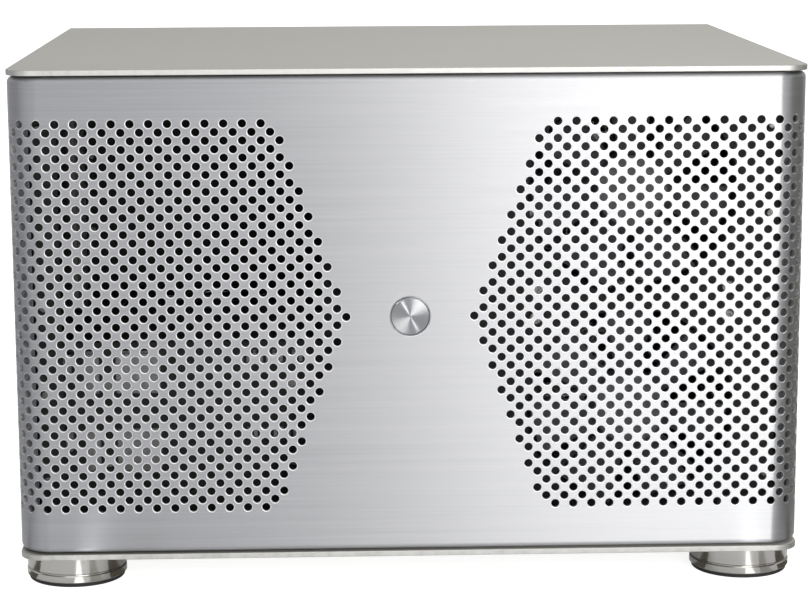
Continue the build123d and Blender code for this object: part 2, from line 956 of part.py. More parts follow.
def make_rear_wall():
    body = wall_blank((wall_front, wall_back), (wall_front - wall_flange, wall_front))
    through = (wall_front - past, wall_back + past)
    psu_x = (psu_left + psu_opening_side, psu_right - psu_opening_side)
    cuts = [
        block((port_left, port_right), through, (port_low, port_high)),
        block(psu_x, through, (psu_low + psu_lip, psu_high - psu_lip)),
        drill(fan_opening_radius, (rear_fan_x, wall_front, rear_fan_z), (0, 1, 0)),
    ]
    for z in slot_heights:
        cuts.append(block((slot_left, slot_right), through, span(z, slot_window_z)))
        cuts.append(drill(screw_hole_radius, (thumb_x, wall_front, z), (0, 1, 0)))
    for x, z in grid((rear_fan_x, rear_fan_z), fan_hole_pitch):
        cuts.append(drill(fan_hole_radius, (x, wall_front, z), (0, 1, 0)))
    for x, z in psu_screw_places():
        cuts.append(drill(screw_hole_radius, (x, wall_front, z), (0, 1, 0)))
    for z in rivet_heights():
        cuts += both_sides(drill(rivet_hole_radius, (rivet_x, wall_front, z), (0, 1, 0)))
    return body - (cuts + vent_holes())


def make_board_tray():
    body = block((tray_inner, frame_inner), (tray_front, tray_back), (floor_top, rail_under))
    return body - [drill(screw_hole_radius, (tray_inner, y, z), (1, 0, 0)) for y, z in board_hole_places()]


def make_frame_posts():
    """Four corner angles, from the floor to the rails."""
    z = (floor_top + frame_sheet, rail_under - frame_sheet)
    leg_x = (frame_inner - post_leg, frame_inner)
    side_x = (tray_inner, frame_inner)
    rear = block(leg_x, (wall_front - frame_sheet, wall_front), z)
    rear += block(side_x, (tray_back, wall_front), z)
    front = block(leg_x, (bulkhead_back, bulkhead_back + frame_sheet), z)
    front += block(side_x, (bulkhead_back, bulkhead_back + post_side), z)
    for height in rivet_heights():
        rear -= drill(rivet_hole_radius, (rivet_x, wall_front, height), (0, 1, 0))
        front -= drill(rivet_hole_radius, (rivet_x, bulkhead_back, height), (0, 1, 0))
    return both_sides(rear) + both_sides(front)


def make_frame_rivets():
    rivets = []
    for z in rivet_heights():
        for face_y, inward in ((wall_back, -1), (bulkhead_front, 1)):
            seat = Vector(rivet_x, face_y, z)
            head = rod(rivet_head_radius, seat, (0, -inward, 0), rivet_head_height)
            head = fillet(head.edges().sort_by(lambda e: -inward * e.center().Y)[-1], rivet_head_edge)
            rivets += both_sides(head + rod(rivet_radius, seat, (0, inward, 0), 2 * frame_sheet))
    return rivets


def make_top_rails():
    y = (bulkhead_back, wall_front)
    rail = block((frame_half - rail_width, frame_half), y, (rail_under, cover_low))
    rail += block((frame_inner, frame_half), y, (rail_under - rail_leg, rail_under))
    for x, y in cover_stud_places:
        rail -= drill(clip_hole_radius, (x, y, rail_under), (0, 0, 1))
    for y, z in side_stud_places:
        rail -= drill(clip_hole_radius, (frame_half, y, z), (1, 0, 0))
    return both_sides(rail)


# ---------------------------------------------------------------- fans
# A fan is made on the XY plane: its inlet face is z = 0 and it blows along +Z.

def fan_frame(size, hole_pitch, hub_radius):
    bore = size / 2 - fan_bore_wall
    body = rod(size / 2 - fan_ring_inset, (0, 0, 0), (0, 0, 1), fan_depth)
    for z in ((0, fan_flange), (fan_depth - fan_flange, fan_depth)):
        body += rounded(block(span(0, size), span(0, size), z), Axis.Z, fan_corner)
    body -= rod(bore, (0, 0, -past), (0, 0, 1), fan_depth + 2 * past)
    body -= [
        drill(fan_hole_radius, (x, y, fan_depth / 2), (0, 0, 1), 2 * fan_depth)
        for x, y in grid((0, 0), hole_pitch)
    ]
    strut_z = (fan_depth - fan_strut_depth, fan_depth)
    strut = block((hub_radius - fan_strut_depth, bore + past), span(0, fan_strut_width), strut_z)
    body += [Rot(0, 0, 45 + 90 * n) * strut for n in range(4)]
    body += rod(hub_radius, (0, 0, strut_z[0]), (0, 0, 1), fan_strut_depth)
    bush_end = fan_depth - bush_end_wall
    body += rod(bush_radius, (0, 0, bush_front), (0, 0, 1), bush_end - bush_front)
    bore_start = bush_front - past
    return body - rod(shaft_radius + shaft_clearance, (0, 0, bore_start), (0, 0, 1), bush_end - bore_start)


def fan_blade(hub_radius, tip_radius):
    """One blade between a short steep section at the hub and a long shallow one at the tip."""
    root = (hub_radius - blade_root_sink, blade_root_chord * hub_radius, blade_root_angle)
    tip = (tip_radius, blade_tip_chord * tip_radius, blade_tip_angle)
    sections = []
    for radius, chord, angle in (root, tip):
        along = (0, math.cos(math.radians(angle)), math.sin(math.radians(angle)))
        place = Plane(origin=(radius, 0, blade_level), x_dir=along, z_dir=(1, 0, 0))
        sections.append(place * Rectangle(chord, blade_thickness))
    return loft(sections)


def fan_rotor(size, hub_radius):
    sweep_radius = size / 2 - fan_bore_wall - tip_clearance
    half_chord = blade_tip_chord / 2 * math.cos(math.radians(blade_tip_angle))
    tip_radius = sweep_radius / math.sqrt(1 + half_chord ** 2) - blade_thickness / 2
    hub = rod(hub_radius, (0, 0, hub_front), (0, 0, 1), hub_depth)
    hub = fillet(hub.edges().sort_by(Axis.Z)[0], hub_edge)
    hub -= rod(hub_radius - hub_wall, (0, 0, hub_front + hub_face), (0, 0, 1), hub_depth)
    shaft_start = hub_front + hub_face / 2
    hub += rod(shaft_radius, (0, 0, shaft_start), (0, 0, 1), fan_depth - shaft_end_gap - shaft_start)
    blade = fan_blade(hub_radius, tip_radius)
    return hub + [Rot(0, 0, 360 / blade_count * n) * blade for n in range(blade_count)]


def fan_guard(size, hole_pitch):
    """A wire guard that stands on z = 0: rings, crossed wires, a middle plate and four eyelets."""
    middle = guard_wire_radius + guard_lift
    thick = 2 * guard_wire_radius
    outer = size / 2 - fan_bore_wall
    rings = [Pos(0, 0, middle) * Torus(outer * share, guard_wire_radius) for share in guard_ring_shares]
    wire_start = guard_boss_radius - past
    wire_end = hole_pitch / math.sqrt(2) - guard_eyelet_radius / 2
    guard = rings[0] + rings[1:]
    for n in range(4):
        angle = math.radians(45 + 90 * n)
        along = Vector(math.cos(angle), math.sin(angle), 0)
        inner_end = Vector(0, 0, middle) + along * wire_start
        guard += rod(guard_wire_radius, inner_end, along, wire_end - wire_start)
    for x, y in grid((0, 0), hole_pitch):
        guard += rod(guard_eyelet_radius, (x, y, guard_lift), (0, 0, 1), thick)
    guard += rod(guard_boss_radius, (0, 0, guard_lift), (0, 0, 1), thick)
    return guard - [drill(fan_hole_radius, (x, y, 0), (0, 0, 1)) for x, y in grid((0, 0), hole_pitch)]


hub_radius = fan_hub_share * fan_size / 2
cooler_hub_radius = fan_hub_share * cooler_fan_size / 2
front_fan_planes = [Plane(origin=(front_fan_x, bulkhead_back, z), z_dir=(0, 1, 0)) for z in fan_heights]
rear_fan_plane = Plane(origin=(rear_fan_x, wall_front - fan_depth, rear_fan_z), z_dir=(0, 1, 0))
rear_guard_plane = Plane(origin=(rear_fan_x, wall_back, rear_fan_z), z_dir=(0, 1, 0))
psu_fan_plane = Plane(origin=(psu_fan_x, psu_fan_y, psu_high - psu_sheet), z_dir=(0, 0, -1))
psu_guard_plane = Plane(origin=(psu_fan_x, psu_fan_y, psu_high), z_dir=(0, 0, 1))
cooler_fan_plane = Plane(origin=(cooler_fan_x, fin_front - fan_depth, cpu_z), z_dir=(0, 1, 0))


def fan_screw(seat, direction, length):
    return screw(seat, direction, length, fan_screw_radius, fan_screw_head_radius)


def make_fan_screws():
    guard_top = 2 * (guard_wire_radius + guard_lift)
    screws = []
    for z in fan_heights:
        for x, hole_z in grid((front_fan_x, z), fan_hole_pitch):
            screws.append(fan_screw((x, bulkhead_front, hole_z), (0, 1, 0), fan_screw_length))
    for x, z in grid((rear_fan_x, rear_fan_z), fan_hole_pitch):
        screws.append(fan_screw((x, wall_back + guard_top, z), (0, -1, 0), guard_screw_length))
    for x, y in grid((psu_fan_x, psu_fan_y), fan_hole_pitch):
        screws.append(fan_screw((x, y, psu_high + guard_top), (0, 0, -1), guard_screw_length))
    return screws


# ---------------------------------------------------------------- board

def board_hole_places():
    rows = (board_low + board_hole_inset, board_low + board_hole_row, board_high - board_hole_inset)
    columns = (board_rear - board_hole_inset, board_rear - board_hole_column, board_front + board_hole_inset)
    return [(y, z) for y in columns for z in rows]


def on_board(height, y, z, lift=0.0):
    """A block on the face of the board, up to a height above it."""
    return block((board_face - height, board_face - lift), y, z)


def make_motherboard():
    body = block((board_face, board_back), (board_front, board_rear), (board_low, board_high))
    hole_radius = screw_radius + board_hole_clearance
    return body - [drill(hole_radius, (board_face, y, z), (1, 0, 0)) for y, z in board_hole_places()]


def make_standoffs():
    pillars = []
    bore_depth = standoff_height - standoff_end_wall
    for y, z in board_hole_places():
        place = Plane(origin=(board_back, y, z), z_dir=(1, 0, 0))
        pillar = extrude(place * RegularPolygon(standoff_radius, 6), standoff_height)
        bore = rod(screw_radius + thread_clearance, (board_back - past, y, z), (1, 0, 0), bore_depth + past)
        pillars.append(pillar - bore)
    return pillars


def make_machine_screws():
    """The like screws that hold the board, the power supply and the drives."""
    screws = [screw((board_face, y, z), (1, 0, 0), board_screw_length) for y, z in board_hole_places()]
    supply_length = frame_sheet + supply_screw_grip
    screws += [screw((x, wall_back, z), (0, -1, 0), supply_length) for x, z in psu_screw_places()]
    for y, direction in ((cage_front, (0, 1, 0)), (cage_back, (0, -1, 0))):
        screws += [screw((x, y, z), direction, drive_screw_length) for x, z in drive_screw_places()]
    return screws


def make_processor_socket():
    frame = on_board(socket_height, span(cpu_y, socket_size), span(cpu_z, socket_size))
    frame = chamfer(frame.edges().filter_by(Axis.X), socket_corner)
    lid_height = socket_height + processor_height
    lid = on_board(lid_height, span(cpu_y, processor_size), span(cpu_z, processor_size), socket_height)
    return [frame, lid]


def heat_pipe(y, radius):
    """One U-shaped pipe: down one side of the fins, through the base and up the other."""
    top = fin_last - pipe_end
    low = cooler_face + cooler_base_height / 2
    under, over = span(cpu_z, 2 * pipe_spread)
    route = FilletPolyline((top, y, under), (low, y, under), (low, y, over), (top, y, over), radius=pipe_bend)
    return sweep(Plane(origin=(top, y, under), z_dir=(1, 0, 0)) * Circle(radius), path=route)


pipe_rows = [cpu_y + pipe_pitch * (n - (pipe_count - 1) / 2) for n in range(pipe_count)]
pipe_hole_radius = pipe_radius + pipe_clearance


def make_cooler_base():
    body = block((cooler_face, processor_face), span(cpu_y, cooler_base_y), span(cpu_z, cooler_base_z))
    middle = cooler_face + cooler_base_height / 2
    length = 2 * cooler_base_z
    return body - [drill(pipe_hole_radius, (middle, y, cpu_z), (0, 0, 1), length) for y in pipe_rows]


def make_cooler_fins():
    """The fin stack: thin plates joined by the folded tabs at their two ends."""
    low, high = span(cpu_z, fin_height)
    stack = [
        block((x - fin_thickness, x), (fin_front, fin_back), (low, high))
        for x in (fin_start - fin_pitch * n for n in range(fin_count))
    ]
    tabs = [
        block((fin_last - fin_thickness, fin_start), span(cpu_y, fin_tab_width), z)
        for z in ((low, low + fin_thickness), (high - fin_thickness, high))
    ]
    body = tabs[0] + (tabs[1:] + stack)
    middle = (fin_last + fin_start) / 2
    length = fin_start - fin_last + 2 * fin_pitch
    holes = [
        drill(pipe_hole_radius, (middle, y, z), (1, 0, 0), length)
        for y in pipe_rows
        for z in span(cpu_z, 2 * pipe_spread)
    ]
    return body - holes


def make_memory_sockets():
    body_z = (memory_low - memory_socket_end, memory_low + memory_length + memory_socket_end)
    slot_z = (memory_low - card_end_gap, memory_low + memory_length + card_end_gap)
    return [
        on_board(memory_socket_height, span(y, memory_socket_width), body_z)
        - on_board(memory_socket_height + past, span(y, card_slot_width), slot_z, memory_socket_floor)
        for y in memory_rows
    ]


def make_memory_modules():
    """Cards with heat spreaders in every second socket; grooves cross the spreaders' outer edge."""
    card_height = memory_card_seat + memory_height
    top = card_height + spreader_cap
    z = (memory_low, memory_low + memory_length)
    modules = []
    for y in memory_rows[::2]:
        card = on_board(card_height, span(y, card_thickness), z, memory_card_seat)
        shell = on_board(top, span(y, spreader_width), z, memory_card_seat + spreader_low)
        grooves = []
        for n in range(spreader_grooves):
            low = z[0] + groove_start + groove_pitch * n
            groove_y = span(y, spreader_width + 2 * past)
            grooves.append(on_board(top + past, groove_y, (low, low + groove_width), top - groove_depth))
        modules.append(card + shell - grooves)
    return modules


def make_expansion_sockets():
    sockets = []
    start = board_rear - slot_socket_start
    for index, z in enumerate(slot_heights):
        length = slot_socket_long if index % 2 else slot_socket_short
        body = on_board(slot_socket_height, (start - length, start), span(z, slot_socket_width))
        slot_y = (start - length + slot_socket_wall, start - slot_socket_wall)
        body -= on_board(slot_socket_height + past, slot_y, span(z, card_slot_width), slot_socket_floor)
        sockets.append(body)
    return sockets


def pin_socket(y, z, pins_y, pins_z):
    """A plastic power socket on the board, with a pocket for each pin."""
    size_y = pins_y * power_pin_pitch + 2 * power_socket_wall
    size_z = pins_z * power_pin_pitch + 2 * power_socket_wall
    body = on_board(power_socket_depth, span(y, size_y), span(z, size_z))
    pockets = []
    for a in range(pins_y):
        for b in range(pins_z):
            pin_y = span(y + (a - (pins_y - 1) / 2) * power_pin_pitch, power_pin_pocket)
            pin_z = span(z + (b - (pins_z - 1) / 2) * power_pin_pitch, power_pin_pocket)
            pockets.append(on_board(power_socket_depth + past, pin_y, pin_z, power_pin_floor))
    return body - pockets


def drive_socket(z):
    """A data socket that faces the front, with its tongue inside the pocket."""
    front = board_front + drive_socket_front
    body = on_board(drive_socket_height, (front, front + drive_socket_length), span(z, drive_socket_width))
    pocket_height = drive_socket_height - drive_socket_wall
    pocket_z = span(z, drive_socket_width - 2 * drive_socket_wall)
    end = front + drive_socket_pocket
    body -= on_board(pocket_height, (front - past, end), pocket_z, drive_socket_floor)
    tongue_x = span(board_face - (pocket_height + drive_socket_floor) / 2, drive_socket_tongue)
    tongue_z = span(z, drive_socket_width - 4 * drive_socket_wall)
    return body + block(tongue_x, (front + past, end + past), tongue_z)


def make_board_connectors():
    sockets = [pin_socket(board_front + main_power_y, board_low + main_power_z, 2, 12)]
    sockets.append(pin_socket(board_rear - processor_power_y, board_high - processor_power_z, 4, 2))
    for n in range(drive_socket_count):
        sockets.append(drive_socket(board_low + drive_socket_low + drive_socket_pitch * n))
    return sockets


def finned_block(height, y, z, fins):
    """A heat sink on the board: a base and upright fins side by side up the board."""
    body = on_board(heatsink_base, y, z)
    pitch = (z[1] - z[0] - heatsink_fin) / (fins - 1)
    for n in range(fins):
        low = z[0] + pitch * n
        body += on_board(height, y, (low, low + heatsink_fin), heatsink_base / 2)
    return body


def make_board_heatsinks():
    chipset_y = board_front + chipset_front
    chipset_z = board_low + chipset_low
    regulator_y = board_rear - regulator_rear
    regulator_z = cpu_z - regulator_drop
    return [
        finned_block(
            chipset_height,
            (chipset_y, chipset_y + chipset_size_y),
            (chipset_z, chipset_z + chipset_size_z),
            chipset_fins,
        ),
        finned_block(
            regulator_height,
            (regulator_y - regulator_size_y, regulator_y),
            (regulator_z, regulator_z + regulator_size_z),
            regulator_fins,
        ),
    ]


# ---------------------------------------------------------------- rear ports and slots

def port_spans():
    """The low and high z of each column of ports, from the top down, and of the audio jacks."""
    spans = []
    high = port_top
    for width in (usb_column, display_column, monitor_column, network_column, usb_column, jack_width):
        spans.append((high - width, high))
        high -= width + port_spacing
    return spans


def port_housing(height, z):
    """A plated housing that stands on the board's rear edge."""
    return on_board(height, (port_back, port_face), z)


def with_socket(body, z, lift, width, height, tongue=True):
    """The housing with one socket sunk into it, at a lift above the board."""
    x = board_face - lift
    middle = sum(z) / 2
    deep = port_face - port_pocket_depth
    body -= block(span(x, height), (deep, port_face + past), span(middle, width))
    if tongue:
        tongue_y = (deep - port_tongue_root, port_face - port_tongue_back)
        body += block(span(x, port_tongue_thickness), tongue_y, span(middle, width - 2 * port_tongue_side))
    return body


def stacked_sockets(height, z, count, socket_width, socket_tall):
    """A housing with like sockets one above another."""
    body = port_housing(height, z)
    for n in range(count):
        body = with_socket(body, z, port_lift + port_step * n, socket_width, socket_tall)
    return body


def make_rear_ports():
    low_usb, display, monitor, _, tall_usb, _ = port_spans()
    monitor_body = port_housing(monitor_port_height, monitor)
    return [
        stacked_sockets(low_port_height, low_usb, 2, usb_width, usb_height),
        stacked_sockets(low_port_height, display, 2, display_width, display_height),
        with_socket(monitor_body, monitor, monitor_lift, monitor_width, monitor_height),
        stacked_sockets(tall_port_height, tall_usb, 4, usb_width, usb_height),
    ] + make_audio_jacks()


def make_network_port():
    """The network socket over two small ones, in one housing."""
    z = port_spans()[3]
    body = stacked_sockets(network_port_height, z, 2, usb_width, usb_height)
    return with_socket(body, z, network_lift, network_width, network_height, tongue=False)


def make_audio_jacks():
    """Three jacks one above another, each a housing with a round boss and a bore."""
    z = port_spans()[-1]
    front = port_face - jack_boss_height
    jacks = []
    for n in range(jack_count):
        x = board_face - jack_lift - jack_pitch * n
        boss = rod(jack_boss_radius, (x, front, sum(z) / 2), (0, 1, 0), jack_boss_height)
        bore = rod(jack_radius, (x, port_face - jack_depth, sum(z) / 2), (0, 1, 0), jack_depth + past)
        jacks.append(block(span(x, jack_pitch - jack_gap), (port_back, front), z) + boss - bore)
    return jacks


def make_port_shield():
    y = (wall_back - shield_inset - shield_sheet, wall_back - shield_inset)
    body = block(
        (port_left + shield_gap, port_right - shield_gap), y, (port_low + shield_gap, port_high - shield_gap)
    )
    jack_height = jack_lift + jack_pitch * (jack_count - 1) + (jack_pitch - jack_gap) / 2
    heights = (
        low_port_height,
        low_port_height,
        monitor_port_height,
        network_port_height,
        tall_port_height,
        jack_height,
    )
    for height, (low, high) in zip(heights, port_spans()):
        x = (board_face - height - port_gap, board_face + port_gap)
        body -= block(x, (y[0] - past, y[1] + past), (low - port_gap, high + port_gap))
    return body


def make_slot_covers():
    """Blank plates over the card slots, each with a pressed rib along it."""
    right = slot_right + slot_cover_overlap
    face = wall_back + slot_cover_sheet
    rib_x = span((slot_left + slot_right) / 2, slot_rib_length)
    hollow_x = span((slot_left + slot_right) / 2, slot_rib_length - 2 * slot_cover_sheet)
    covers = []
    for z in slot_heights:
        body = block((right - slot_cover_x, right), (wall_back, face), span(z, slot_cover_z))
        body = rounded(body, Axis.Y, slot_cover_corner)
        body += block(rib_x, (wall_back, face + slot_rib_height), span(z, slot_rib_width))
        hollow_z = span(z, slot_rib_width - 2 * slot_cover_sheet)
        body -= block(hollow_x, (wall_back - past, wall_back + slot_rib_height), hollow_z)
        covers.append(body - drill(screw_hole_radius, (thumb_x, wall_back, z), (0, 1, 0)))
    return covers


def make_thumbscrews():
    screws = []
    seat_y = wall_back + slot_cover_sheet
    top_y = seat_y + thumb_height
    for z in slot_heights:
        head = rod(thumb_radius, (thumb_x, seat_y, z), (0, 1, 0), thumb_height)
        head = chamfer(head.edges().filter_by(GeomType.CIRCLE), thumb_edge)
        slot_y = (top_y - thumb_slot_depth, top_y + past)
        cuts = [block(span(thumb_x, 2 * thumb_radius), slot_y, span(z, thumb_slot_width))]
        for n in range(thumb_grooves):
            angle = 2 * math.pi * n / thumb_grooves
            rim_x = thumb_x + thumb_radius * math.cos(angle)
            rim = (rim_x, (seat_y + top_y) / 2, z + thumb_radius * math.sin(angle))
            cuts.append(drill(thumb_groove_radius, rim, (0, 1, 0), thumb_height + 2 * past))
        screws.append(head - cuts + rod(screw_radius, (thumb_x, seat_y, z), (0, -1, 0), thumb_length))
    return screws


# ---------------------------------------------------------------- power supply

inlet_body_x = inlet_width + 2 * inlet_wall
inlet_body_z = inlet_height + 2 * inlet_wall
switch_inner_x = rocker_width + 2 * rocker_gap
switch_inner_z = rocker_height + 2 * rocker_gap


def psu_vents():
    """Cutters for the staggered vents in the supply's rear face."""
    first_x = psu_left + psu_vent_left
    first_z = psu_low + psu_vent_low
    places = [
        (first_x + column * psu_vent_pitch_x, wall_front, first_z + row * psu_vent_pitch_z)
        for column in range(psu_vent_columns)
        for row in range(psu_vent_rows)
        if (column + row) % 2 == 0
    ]
    return [drill(psu_vent_radius, place, (0, 1, 0)) for place in places]


def make_psu_case():
    body = block((psu_left, psu_right), (psu_front, wall_front), (psu_low, psu_high - psu_sheet))
    body -= block(
        (psu_left + psu_sheet, psu_right - psu_sheet),
        (psu_front + psu_sheet, wall_front - psu_sheet),
        (psu_low + psu_sheet, psu_high),
    )
    through = (wall_front - psu_sheet - past, wall_front + past)
    inlet_x_span = span(inlet_cx, inlet_body_x + 2 * inlet_hole_gap)
    switch_x_span = span(rocker_cx, switch_inner_x + 2 * (switch_frame_wall + switch_hole_gap))
    inlet_hole_z = inlet_body_z + 2 * inlet_hole_gap
    switch_hole_z = switch_inner_z + 2 * (switch_frame_wall + switch_hole_gap)
    cuts = [
        block(inlet_x_span, through, span(inlet_cz, inlet_hole_z)),
        block(switch_x_span, through, span(inlet_cz, switch_hole_z)),
        drill(psu_lead_radius, (psu_left + psu_lead_x, psu_front, psu_low + psu_lead_z), (0, 1, 0)),
    ]
    for x, z in psu_screw_places():
        cuts.append(drill(screw_hole_radius, (x, wall_front, z), (0, 1, 0)))
    return body - (cuts + psu_vents())


def make_psu_cover():
    under = psu_high - psu_sheet
    body = block((psu_left, psu_right), (psu_front, wall_front), (under, psu_high))
    lip_right = psu_right - psu_sheet - psu_cover_lip_gap
    lip_y = (psu_front + psu_cover_lip_inset, wall_front - psu_cover_lip_inset)
    lip = block((lip_right - psu_cover_lip_width, lip_right), lip_y, (under - psu_cover_lip_height, under))
    body += [lip, Pos(2 * psu_fan_x, 0, 0) * mirrored(lip)]
    body -= drill(fan_opening_radius, (psu_fan_x, psu_fan_y, psu_high), (0, 0, 1))
    holes = grid((psu_fan_x, psu_fan_y), fan_hole_pitch)
    return body - [drill(fan_hole_radius, (x, y, psu_high), (0, 0, 1)) for x, y in holes]


def make_psu_board():
    """The supply's own circuit board with its heat sinks, its transformer and two capacitors."""
    low = psu_low + psu_board_gap
    top = low + board_thickness
    x = (psu_left + psu_board_gap, psu_right - psu_board_gap)
    parts = [block(x, (psu_front + psu_board_front, wall_front - psu_board_back), (low, top))]
    sink_y = (psu_front + psu_sink_front, psu_front + psu_sink_front + psu_sink_length)
    for middle in span(psu_fan_x, psu_width - 2 * psu_sink_inset):
        parts.append(block(span(middle, psu_sink_thickness), sink_y, (top, top + psu_sink_height)))
    coil_y = (psu_front + psu_coil_front, psu_front + psu_coil_front + psu_coil_depth)
    coil = block(span(psu_fan_x, psu_coil_size), coil_y, (top, top + psu_coil_height))
    parts.append(chamfer(coil.edges().filter_by(Axis.Z), psu_coil_corner))
    for y in (psu_front + psu_can_front, psu_front + psu_can_back):
        parts.append(rod(psu_can_radius, (psu_fan_x, y, top), (0, 0, 1), psu_can_height))
    foot_low = psu_low + psu_sheet
    for foot_x in (x[0] + psu_foot_inset, x[1] - psu_foot_inset):
        for foot_y in (psu_front + 2 * psu_foot_inset, wall_front - psu_board_back - psu_foot_inset):
            parts.append(rod(psu_foot_radius, (foot_x, foot_y, foot_low), (0, 0, 1), low - foot_low))
    return parts


def make_mains_inlet():
    """The appliance inlet: a flange, a housing with a deep cavity and three flat pins."""
    face = wall_front + inlet_flange
    floor_y = face - inlet_depth
    flange_x = span(inlet_cx, inlet_width + 2 * inlet_flange_side)
    flange = block(flange_x, (wall_front, face), span(inlet_cz, inlet_height + 2 * inlet_flange_side))
    flange = rounded(flange, Axis.Y, inlet_flange_corner)
    body_y = (floor_y - inlet_floor, wall_front)
    body = flange + block(span(inlet_cx, inlet_body_x), body_y, span(inlet_cz, inlet_body_z))
    cavity = block(span(inlet_cx, inlet_width), (floor_y, face + past), span(inlet_cz, inlet_height))
    body -= chamfer(cavity.edges().filter_by(Axis.Y).group_by(Axis.Z)[-1], inlet_corner)
    pin_y = (floor_y - inlet_pin_inset, wall_front - inlet_pin_inset)
    for side, z in ((-1, -inlet_pin_drop), (0, inlet_earth_lift), (1, -inlet_pin_drop)):
        pin_x = span(inlet_cx + side * inlet_pin_pitch, inlet_pin_width)
        body += block(pin_x, pin_y, span(inlet_cz + z, inlet_pin_height))
    return body


def make_switch_frame():
    flange = block(
        span(rocker_cx, switch_inner_x + 2 * switch_flange_side),
        (wall_front, wall_front + inlet_flange),
        span(inlet_cz, switch_inner_z + 2 * switch_flange_side),
    )
    flange = rounded(flange, Axis.Y, switch_flange_corner)
    outer_x = span(rocker_cx, switch_inner_x + 2 * switch_frame_wall)
    outer_z = span(inlet_cz, switch_inner_z + 2 * switch_frame_wall)
    body = flange + block(outer_x, (wall_front - switch_frame_depth, wall_front), outer_z)
    cavity_y = (wall_front - switch_frame_depth + switch_frame_floor, wall_front + inlet_flange + past)
    body -= block(span(rocker_cx, switch_inner_x), cavity_y, span(inlet_cz, switch_inner_z))
    half = rocker_width / 2 + rocker_pin_length + rocker_pin_clearance
    radius = rocker_pin_radius + rocker_pin_clearance
    return body - rod(radius, (rocker_cx - half, rocker_y, inlet_cz), (1, 0, 0), 2 * half)


def make_rocker():
    """The rocker, drawn with its lower half pressed; two pins carry it."""
    half_x = rocker_width / 2
    half_z = rocker_height / 2
    tip = rocker_tip + math.tan(math.radians(rocker_tilt)) * half_z
    end = half_z - rocker_end_gap
    side = (rocker_cx - half_x, rocker_y, inlet_cz)
    with BuildPart() as made:
        with BuildSketch(Plane(origin=side, x_dir=(0, 1, 0), z_dir=(1, 0, 0))):
            with BuildLine():
                Polyline(
                    (-rocker_depth, -rocker_waist),
                    (tip, -end),
                    (rocker_middle, 0),
                    (tip, end),
                    (-rocker_depth, rocker_waist),
                    close=True,
                )
            make_face()
        extrude(amount=rocker_width)
    pin_half = half_x + rocker_pin_length
    pins = rod(rocker_pin_radius, (rocker_cx - pin_half, rocker_y, inlet_cz), (1, 0, 0), 2 * pin_half)
    return (made.part + pins).rotate(Axis((rocker_cx, rocker_y, inlet_cz), (1, 0, 0)), rocker_tilt)


# ---------------------------------------------------------------- drives

def drive_screw_places():
    """Side screws of each drive, the same on the cage's front and back plates."""
    return [
        (drive_left + x, low + drive_screw_z)
        for low in drive_lows
        for x in (drive_screw_left, drive_screw_right)
    ]


def cage_windows(high):
    """Cutters through both plates beside one drive, all with their top edge at one height."""
    y = (cage_front - past, cage_back + past)
    windows = [
        (cage_outer_window_x, cage_outer_window_width, cage_outer_window_height),
        (cage_middle_window_x, cage_middle_window_width, cage_window_height),
        (cage_inner_window_x, cage_inner_window_width, cage_window_height),
    ]
    cutters = []
    for start, width, height in windows:
        window = block((drive_left + start, drive_left + start + width), y, (high - height, high))
        cutters.append(rounded(window, Axis.Y, cage_window_corner))
    for n in range(cage_slot_count):
        x = drive_left + cage_slot_x + n * cage_slot_pitch
        cutters.append(block((x, x + cage_slot_width), y, (high - cage_slot_height, high)))
    return cutters


def make_drive_cage():
    """An open cage: two plates, a roof and two feet, with windows and slots beside each drive."""
    x = (cage_left, cage_right)
    front = block(x, (cage_front, cage_front + frame_sheet), (floor_top, cage_top))
    back = block(x, (cage_back - frame_sheet, cage_back), (floor_top, cage_top))
    roof = block(x, (cage_front, cage_back), (cage_top - frame_sheet, cage_top))
    foot_z = (floor_top, floor_top + frame_sheet)
    feet = [
        block(x, (cage_front, cage_front + cage_foot), foot_z),
        block(x, (cage_back - cage_foot, cage_back), foot_z),
    ]
    cuts = [
        drill(screw_hole_radius, (hole_x, y, z), (0, 1, 0))
        for hole_x, z in drive_screw_places()
        for y in (cage_front, cage_back)
    ]
    for low in drive_lows:
        cuts += cage_windows(low + drive_height - cage_window_margin)
    return front + ([back, roof] + feet) - cuts


def make_hard_drive(low):
    """A drive: a cast body with a pressed lid, a recess below and a plug pocket at its right end."""
    left, right = drive_left, drive_left + drive_length
    front, back = cage_front + frame_sheet, cage_back - frame_sheet
    lid_low = low + drive_height - drive_lid_height
    body = block((left, right), (front, back), (low, lid_low))
    body = chamfer(body.edges().filter_by(Axis.Z), drive_edge)
    lid = block(
        (left + drive_lid_inset_x, right - drive_lid_inset_x),
        (front + drive_lid_inset_y, back - drive_lid_inset_y),
        (lid_low, low + drive_height),
    )
    body += rounded(lid, Axis.Z, drive_lid_corner)
    pan_x = (left + drive_pan_inset_x, right - drive_pan_far)
    pan_y = (front + drive_pan_inset_y, back - drive_pan_inset_y)
    body -= block(pan_x, pan_y, (low - past, low + drive_pan_depth))
    plug_y = (front + drive_plug_inset, front + drive_plug_inset + drive_plug_width)
    plug_z = (low + drive_plug_low, low + drive_plug_low + drive_plug_height)
    body -= block((right - drive_plug_depth, right + past), plug_y, plug_z)
    tongue_x = (right - drive_plug_depth - past, right - past)
    tongue_y = (plug_y[0] + drive_tongue, plug_y[1] - drive_tongue)
    body += block(tongue_x, tongue_y, span(sum(plug_z) / 2, drive_tongue))
    for x, z in drive_screw_places():
        if low < z < low + drive_height:
            body -= [
                drill(screw_radius + thread_clearance, (x, y, z), (0, 1, 0), 2 * drive_screw_length)
                for y in (front, back)
            ]
    return body


# ---------------------------------------------------------------- build

def solids_of(shape):
    """One compound of the closed solids in a shape or a list of shapes."""
    shapes = shape if isinstance(shape, (list, tuple)) else [shape]
    return Compound([solid for item in shapes for solid in item.solids()])


